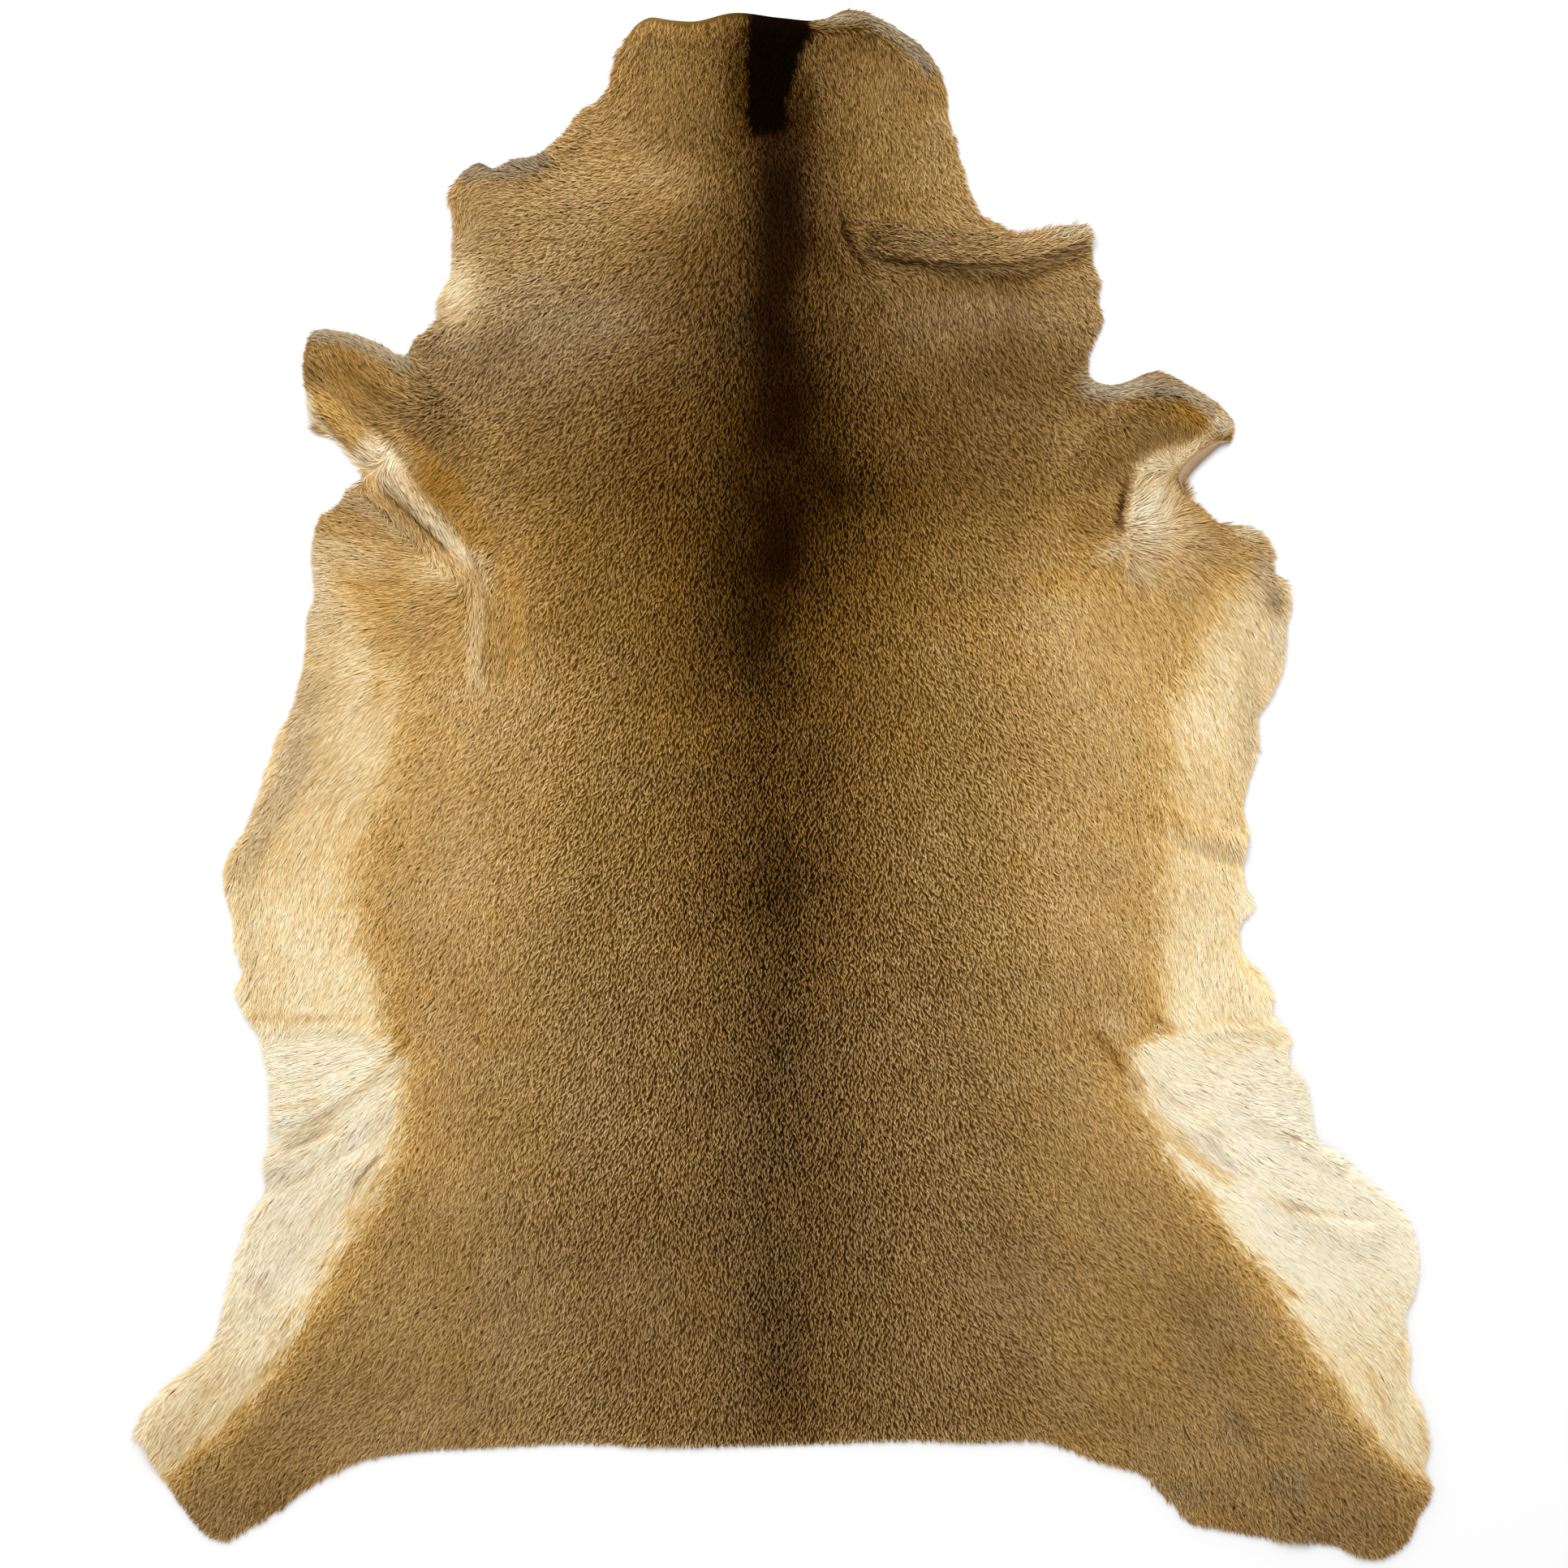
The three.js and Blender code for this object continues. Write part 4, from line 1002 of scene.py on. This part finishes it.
def hair_colour(wire, tone, warmth):
    """The colour of hair of a tone and a warmth. The Mix node's inputs 6 and 7 are its colours."""
    cool, warm = (
        wire.node("ShaderNodeValToRGB", {"stops": [
            (stop, [linear(value) for value in colour]) for stop, *colour in family
        ]}, {"Fac": tone})
        for family in (COOL_HAIR, WARM_HAIR)
    )
    return wire.node("ShaderNodeMix", {"data_type": "RGBA"}, {0: warmth, 6: cool, 7: warm}, output=2)


def coat_material(coat):
    material, wire = new_material("deer_hair")
    place = wire.node("ShaderNodeUVMap", {"uv_map": "OFBake"})
    tone = wire.node("ShaderNodeSeparateXYZ", sockets={0: place})
    warmth = Wire(wire.tree, tone.socket.node.outputs["Y"])
    surface(wire, hair_colour(wire, tone, warmth), coat.roughness)
    return material


def undercoat_material():
    """The roots of the hair close to the skin, darker than the tips, partly by their own colour and partly
    by painted shade under the coat and in the creases.
    """
    material, wire = new_material("undercoat")
    grain = noise(wire, *UNDERCOAT_GRAIN)
    tone, warmth = (
        wire.node("ShaderNodeAttribute", {"attribute_name": name}, output="Fac")
        for name in ("tone", "warmth")
    )
    colour = hair_colour(wire, tone + (grain - 0.5) * UNDERCOAT_SPECKLE, warmth)
    surface(wire, colour, roughness=0.85, Normal=bump(wire, grain, *UNDERCOAT_BUMP))
    return material


def suede_material(skin):
    """The bare flesh side, with its nap, its pale scrapes and its dark stains."""
    material, wire = new_material("flesh_side")
    cloudy, nap = noise(wire, *SUEDE_CLOUDS), noise(wire, *SUEDE_NAP)
    stops = [(stop, Vector(skin.suede) * brightness) for stop, brightness in SUEDE_STOPS]
    mixed = cloudy * (1.0 - NAP_SHARE) + nap * NAP_SHARE
    colour = wire.node("ShaderNodeValToRGB", {"stops": stops}, {"Fac": mixed})
    surface(wire, colour, roughness=0.9, specular=0.12, Normal=bump(wire, nap, *SUEDE_BUMP))
    return material


def deselect():
    for item in bpy.context.selected_objects:
        item.select_set(False)


def mesh_object(name, points, faces, material):
    """An object from arrays of points, in metres, and of triangles."""
    mesh = bpy.data.meshes.new(name)
    mesh.vertices.add(len(points))
    mesh.vertices.foreach_set("co", points.astype(np.float32).ravel())
    mesh.loops.add(faces.size)
    mesh.loops.foreach_set("vertex_index", faces.astype(np.int32).ravel())
    mesh.polygons.add(len(faces))
    mesh.polygons.foreach_set("loop_start", np.arange(0, faces.size, 3, dtype=np.int32))
    mesh.materials.append(material)
    mesh.update(calc_edges=True)
    mesh.validate()
    item = bpy.data.objects.new(name, mesh)
    bpy.context.scene.collection.objects.link(item)
    deselect()
    item.select_set(True)
    bpy.context.view_layer.objects.active = item
    bpy.ops.object.shade_smooth()
    return item


def lattice(step, ring, accept):
    """Points of a triangular lattice inside the outline, each a little off its place."""
    low, high = ring.min(axis=0), ring.max(axis=0)
    rows = np.arange(low[1], high[1], step * ROW_HEIGHT)
    columns = np.arange(low[0], high[0], step)
    x, y = np.meshgrid(columns, rows)
    x[1::2] += step / 2
    shift = np.random.default_rng(SEED).uniform(-OFF_PLACE, OFF_PLACE, (2, *x.shape)) * step
    x, y = (x + shift[0]).ravel(), (y + shift[1]).ravel()
    keep = inside(ring, x, y)
    x, y = x[keep], y[keep]
    clear = CLEAR_OF_RIM * step
    keep = (beside_rim(ring, x, y, clear).distance > clear) & accept(x, y)
    return np.stack((x[keep], y[keep]), axis=1)


def on_bold_fold(x, y):
    """True where the hide is sharply folded or curled, so that it needs fine points."""
    found = beside(CURL_PATH, x, y, CURL["fine"]).distance < CURL["fine"]
    for path, left, right, height, *_ in FOLDS:
        if height > BOLD_FOLD:
            reach = BOLD_REACH * max(left, right)
            found |= beside(path, x, y, reach).distance < reach
    return found


def skin_plan(skin):
    """The points and triangles of the skin, seen from above before it is folded."""
    rim = rim_line(RING_STEP)
    way = unit(np.roll(rim, -1, axis=0) - np.roll(rim, 1, axis=0))
    inset = skin_inset(skin, rim[:, 0], rim[:, 1])
    ring = rim + np.stack((way[:, 1], -way[:, 0]), axis=1) * inset[:, None]
    fine = lattice(skin.fold_step / MM, ring, on_bold_fold)
    coarse = lattice(skin.open_step / MM, ring, lambda x, y: ~on_bold_fold(x, y))
    points = [Vector(p) for p in np.vstack((ring, fine, coarse))]
    edges = [(i, (i + 1) % len(ring)) for i in range(len(ring))]
    found = delaunay_2d_cdt(points, edges, [], 1, SAME_POINT)
    return np.array([tuple(p) for p in found[0]]), np.array(found[2])


def build_skin(skin):
    """The tanned skin: one closed sheet with its hair side up, folded as the hide is."""
    plan, faces = skin_plan(skin)
    x, y = plan[:, 0], plan[:, 1]
    underside = flesh_side(x, y, skin.swell / MM)
    piece = mesh_object("hide_skin", underside * MM, faces, undercoat_material())
    solidify = piece.modifiers.new("leather", "SOLIDIFY")
    solidify.thickness = skin.leather
    solidify.offset = 1.0
    solidify.use_even_offset = False
    bpy.ops.object.modifier_apply(modifier=solidify.name)
    mesh = piece.data
    if len(mesh.vertices) != 2 * len(plan):
        raise RuntimeError("the skin has points that aren't in its plan")
    # The creases darken the undercoat with painted shade.
    dark = crease_marks(x, y)[1]
    tone, warmth, _ = coat_colour(x, y)
    rim = beside_rim(rim_line(), x, y, RIM_SIGHT).distance
    # The undercoat is darker where the coat is thick: partly the roots' own colour, partly painted shade
    # under the coat.
    thin = np.minimum(paleness(tone) + 1.0 - smooth(rim, *THIN_RIM), 1.0)
    roots = blend(*ROOT_SHADE, thin) * (tone - dark)
    for name, values in (("tone", roots), ("warmth", warmth)):
        attribute = mesh.attributes.new(name, "FLOAT", "POINT")
        attribute.data.foreach_set("value", np.tile(values, 2).astype(np.float32))
    mesh.materials.append(suede_material(skin))
    facing = np.zeros(len(mesh.polygons) * 3)
    mesh.polygons.foreach_get("normal", facing)
    top = facing.reshape(-1, 3)[: len(faces), 2].mean() > 0
    bare = np.ones(len(mesh.polygons), np.int32)
    bare[slice(0, len(faces)) if top else slice(len(faces), 2 * len(faces))] = 0
    mesh.polygons.foreach_set("material_index", bare)
    return piece


class Tufts:
    """The tufts as arrays with a value for each of them, which keep() thins out together."""

    def keep(self, chosen):
        for name, values in vars(self).items():
            setattr(self, name, values[chosen])


def coat_roots(coat, skin):
    """The roots on the plan: their distance to the rim, the way out to it and the rank by tone."""
    spacing = coat.spacing / MM
    rim = rim_line()
    low, high = rim.min(axis=0), rim.max(axis=0)
    x, y = np.meshgrid(np.arange(low[0], high[0], spacing), np.arange(low[1], high[1], spacing))
    shift = np.random.default_rng(SEED + 1).uniform(-0.5, 0.5, (2, *x.shape)) * spacing
    row, column = np.indices(x.shape)
    hair = Tufts()
    hair.rank = (column + RANK_STEP * row).ravel() % len(RANK_TONES)
    hair.x, hair.y = (x + shift[0]).ravel(), (y + shift[1]).ravel()
    hair.keep(inside(rim, hair.x, hair.y))
    place = beside_rim(rim, hair.x, hair.y, RIM_SIGHT)
    hair.rim = np.minimum(place.distance, RIM_SIGHT)
    hair.out_x, hair.out_y = -place.uy, place.ux
    hair.keep(hair.rim > skin_inset(skin, hair.x, hair.y) + RIM_GAP)
    return hair


def lay_tufts(coat, skin, draw):
    """Where the tufts grow, what kind of hair they are, which way they lie and how long they are."""
    hair = coat_roots(coat, skin)
    found = hide_surface(hair.x, hair.y, skin.swell / MM)
    hair.point, hair.along_x, hair.along_y, hair.normal = found
    hair.keep(hair.normal[:, 2] > UPWARDS)
    x, y, out_x, out_y, count = hair.x, hair.y, hair.out_x, hair.out_y, len(hair.x)
    tone, _, grain = coat_colour(x, y)
    hair.pale = np.maximum(paleness(tone), silk(x, y))
    hair.crisp = smooth(grain, *CRISP_GRAIN)
    length = blend(blend(coat.fine, coat.short, hair.crisp), coat.long, hair.pale)
    length = length / MM * draw.uniform(*LENGTHS, count)
    way_x, way_y = hair_lay(x, y)
    ragged = 1.0 - SLEEK_SHARE * sleek(x, y)
    turn_out = np.exp(-((hair.rim / TURN_OUT_REACH) ** 2)) * ragged
    turn_out = turn_out * np.maximum(TURN_OUT - (way_x * out_x + way_y * out_y), 0.0)
    way_x, way_y = way_x + turn_out * out_x, way_y + turn_out * out_y
    stray = blend(*STRAY, hair.pale) * draw.normal(0.0, 1.0, count)
    stray += blend(*DRIFT, hair.pale) * clouds(x, y, "drift") + WAVER * clouds(x, y, "waver")
    heading = np.arctan2(way_y, way_x) + np.radians(stray)
    way_x, way_y = np.cos(heading), np.sin(heading)
    facing_out = way_x * out_x + way_y * out_y
    room = hair.rim + coat.fringe / MM * draw.uniform(0.0, 1.0, count) * ragged
    cut = np.minimum(length, room / np.maximum(facing_out, LEAST_OUT))
    hair.length = np.where(facing_out > LEAST_OUT, cut, length)
    hair.along = unit(hair.along_x * way_x[:, None] + hair.along_y * way_y[:, None])
    hair.across = np.cross(hair.normal, hair.along)
    return hair


def tuft_shapes(coat, skin, hair, draw):
    """Each tuft's four points, root, middle, tip and middle, and the normal that shades it."""
    count, normal, along, across = len(hair.x), hair.normal, hair.along, hair.across
    depth = coat.depth / MM * blend(*KIND_DEPTH, hair.pale)
    depth = depth * blend(RIM_DEPTH, 1.0, smooth(hair.rim, 0.0, RIM_DEPTH_REACH))
    depth = depth * blend(STEEP_DEPTH, 1.0, smooth(normal[:, 2], *STEEPNESS))
    depth = depth * draw.uniform(*DEPTHS, count)
    depth = depth * (1.0 + blend(*RANK_DEPTH, hair.crisp) * hair.lights)
    depth = np.maximum(depth - hair.sink, LEAST_DEPTH)[:, None]
    half = coat.width / MM / 2 * draw.uniform(*WIDTHS, count) * blend(*KIND_WIDTH, hair.pale)
    roll = np.radians(ROLL) * draw.normal(0.0, 1.0, count)
    bend = blend(*SIDE_BEND, hair.pale) * draw.normal(0.0, 1.0, count) * hair.length
    forward = along * hair.length[:, None]
    root = hair.point + normal * (skin.leather / MM - ROOT_DEPTH)
    middle = root + MIDDLE_LENGTH * forward + normal * (MIDDLE_DEPTH * depth - RIDGE)
    tip = root + forward + normal * depth + across * bend[:, None]
    side = across * (half * np.cos(roll))[:, None] + normal * (half * np.sin(roll))[:, None]
    points = np.stack((root, middle - side, tip, middle + side), axis=1)
    points[..., 2] = np.maximum(points[..., 2], LOWEST_TIP)
    tilt = blend(*TILT_OF_ROLL, hair.pale) * roll
    tilt += blend(*TILT_SPREAD, hair.pale) * draw.normal(0.0, 1.0, count)
    return points, unit(normal - across * np.sin(tilt)[:, None])


def tuft_colours(coat, hair, draw):
    """The tone and the warmth of each of a tuft's four points."""
    count, pale, tone = len(hair.x), hair.pale, hair.tone
    speckle = coat.speckle * blend(SPECKLE_BASE + SPECKLE_GRAIN * hair.grain, PALE_TUFT_SPECKLE, pale)
    lights = speckle * (hair.lights + RANDOM_TONE * draw.normal(0.0, 1.0, count))
    lights = lights * smooth(tone, *SPECKLED_TONES)
    streak = blend(*STREAK_TONE, pale) * (1.0 - hair.crisp) * hair.streak
    lights = lights + streak * smooth(tone, *STREAKED_TONES)
    # Painted shade darkens the gaps between the locks of pale hair.
    lights = lights - GAP_SHADE * pale * smooth(-hair.streak, *GAP_STREAKS)
    # The painted shade of the creases darkens the tuft's body.
    body = (tone + lights - hair.dark) * blend(HAIR_GAIN, 1.0, pale)
    body = np.clip(body, *TONE_EDGES)
    # The root is darker, partly by the hair's own colour and partly by painted shade from the tufts over
    # it.
    root = body * blend(blend(*ROOT_TONE, hair.crisp), PALE_ROOT_TONE, pale)
    side = body * blend(*SIDE_TONE, pale)
    tones = np.stack((root, side + MAP_WIDTH, body * TIP_TONE, side), axis=1)
    # Painted shade in the creases also makes pale hair greyer.
    warm = hair.warmth - CREASE_SHADE_COOLS * hair.dark * pale
    warm = warm + RANDOM_WARMTH * draw.normal(0.0, 1.0, count)
    warms = np.stack((warm, warm + MAP_WIDTH, warm, warm - MAP_WIDTH), axis=1)
    return np.clip(np.stack((tones, warms), axis=-1), *MAP_EDGES)


def build_coat(coat, skin):
    """All the pieces of the coat, each one joined mesh of tufts."""
    draw = np.random.default_rng(SEED + 2)
    hair = lay_tufts(coat, skin, draw)
    seen = hair.point + hair.along * (SEEN_AT * hair.length)[:, None]
    hair.streak = streaks(hair.x, hair.y)
    hair.tone, hair.warmth, hair.grain = coat_colour(seen[:, 0], seen[:, 1], hair.streak)
    # How far the creases sink each tuft, and the painted shade that they put on it.
    hair.sink, hair.dark = crease_marks(seen[:, 0], seen[:, 1])
    hair.lights = np.array(RANK_TONES)[hair.rank]
    points, shading = tuft_shapes(coat, skin, hair, draw)
    colours = tuft_colours(coat, hair, draw)
    material = coat_material(coat)
    x, y, pieces = hair.x, hair.y, []
    for name, low_y, high_y, low_x, high_x in COAT_PIECES:
        own = np.flatnonzero((y > low_y) & (y <= high_y) & (x > low_x) & (x <= high_x))
        first = 4 * np.arange(len(own))[:, None]
        faces = np.concatenate((first + [0, 1, 2], first + [0, 2, 3]), axis=1).reshape(-1, 3)
        if len(faces) > PIECE_LIMIT:
            raise RuntimeError(f"{name} has {len(faces)} triangles")
        piece = mesh_object(name, points[own].reshape(-1, 3) * MM, faces, material)
        piece.data.normals_split_custom_set_from_vertices(np.repeat(shading[own], 4, axis=0))
        layer = piece.data.uv_layers.new(name="OFBake")
        corners = colours[own].reshape(-1, 2)[faces.ravel()]
        layer.data.foreach_set("uv", corners.astype(np.float32).ravel())
        pieces.append(piece)
    return pieces


class DEERHIDE_OT_skin(bpy.types.Operator):
    """Build the tanned skin, with its folds and its curled edge"""

    bl_idname = "deerhide.skin"
    bl_label = "Skin"
    bl_options = {"REGISTER", "UNDO"}

    def execute(self, context):
        deselect()
        piece = build_skin(context.scene.deerhide_skin)
        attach(piece, "root")
        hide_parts("hide")
        return {"FINISHED"}


class DEERHIDE_OT_coat(bpy.types.Operator):
    """Build the coat, tuft by tuft, in several joined meshes"""

    bl_idname = "deerhide.coat"
    bl_label = "Coat"
    bl_options = {"REGISTER", "UNDO"}

    def execute(self, context):
        pieces = build_coat(context.scene.deerhide_coat, context.scene.deerhide_skin)
        for piece in pieces:
            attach(piece, "root")
        return {"FINISHED"}


class DEERHIDE_OT_studio(bpy.types.Operator):
    """Set up the floor, the lights and the camera"""

    bl_idname = "deerhide.studio"
    bl_label = "Studio"
    bl_options = {"REGISTER", "UNDO"}

    def execute(self, context):
        studio = context.scene.deerhide_studio
        build_floor(studio)
        build_lights(studio)
        build_camera(studio)
        return {"FINISHED"}


def build_floor(studio):
    deselect()
    bpy.ops.mesh.primitive_plane_add(size=FLOOR_SIZE, location=(0.0, 0.0, 0.0))
    floor = bpy.context.object
    floor.name = "studio_floor"
    material, wire = new_material("studio_floor")
    surface(wire, (*studio.floor, 1.0), roughness=0.9, specular=0.1)
    floor.data.materials.append(material)


def build_lights(studio):
    deselect()
    bpy.ops.object.light_add(type="AREA", location=KEY_PLACE)
    key = bpy.context.object
    key.name = "key_light"
    key.data.shape = "RECTANGLE"
    key.data.size, key.data.size_y = KEY_SIZE
    key.data.energy = studio.key
    key.rotation_euler = (-key.location).to_track_quat("-Z", "Y").to_euler()
    world = bpy.data.worlds.new("studio")
    world.use_nodes = True
    background = world.node_tree.nodes["Background"]
    background.inputs["Color"].default_value = (1.0, 1.0, 1.0, 1.0)
    background.inputs["Strength"].default_value = studio.fill
    bpy.context.scene.world = world
    bpy.context.scene.view_settings.view_transform = "Standard"


def build_camera(studio):
    """A camera straight above, whose picture is frame_width wide a third of the way up the hide."""
    deselect()
    height = CAD_BOX[1].z / 3 + studio.frame_width * studio.lens / SENSOR_WIDTH
    bpy.ops.object.camera_add(location=(0.0, 0.0, height), rotation=(0.0, 0.0, 0.0))
    camera = bpy.context.object
    camera.name = "studio_camera"
    camera.data.lens = studio.lens
    camera.data.sensor_width = SENSOR_WIDTH
    bpy.context.scene.camera = camera


class DEERHIDE_PT_panel(bpy.types.Panel):
    """The sizes and colours of the rug, and the buttons that build it"""

    bl_label = "Deerhide"
    bl_idname = "DEERHIDE_PT_panel"
    bl_space_type = "VIEW_3D"
    bl_region_type = "UI"
    bl_category = "Deerhide"

    def draw(self, context):
        for name, operator in GROUPS.items():
            box = self.layout.box()
            group = getattr(context.scene, name)
            for setting in group.bl_rna.properties.keys():
                if setting not in ("rna_type", "name"):
                    box.prop(group, setting)
            box.operator(operator)


GROUPS = {
    "deerhide_skin": "deerhide.skin",
    "deerhide_coat": "deerhide.coat",
    "deerhide_studio": "deerhide.studio",
}
CLASSES = [
    DeerhideSkin, DeerhideCoat, DeerhideStudio,
    DEERHIDE_OT_skin, DEERHIDE_OT_coat, DEERHIDE_OT_studio, DEERHIDE_PT_panel,
]


def register():
    for item in CLASSES:
        bpy.utils.register_class(item)
    for name, group in zip(GROUPS, CLASSES):
        setattr(bpy.types.Scene, name, bpy.props.PointerProperty(type=group))


def unregister():
    for name in GROUPS:
        delattr(bpy.types.Scene, name)
    for item in reversed(CLASSES):
        bpy.utils.unregister_class(item)


def main():
    register()
    bpy.ops.deerhide.studio()
    bpy.ops.deerhide.skin()
    bpy.ops.deerhide.coat()


if __name__ == "__main__":
    main()
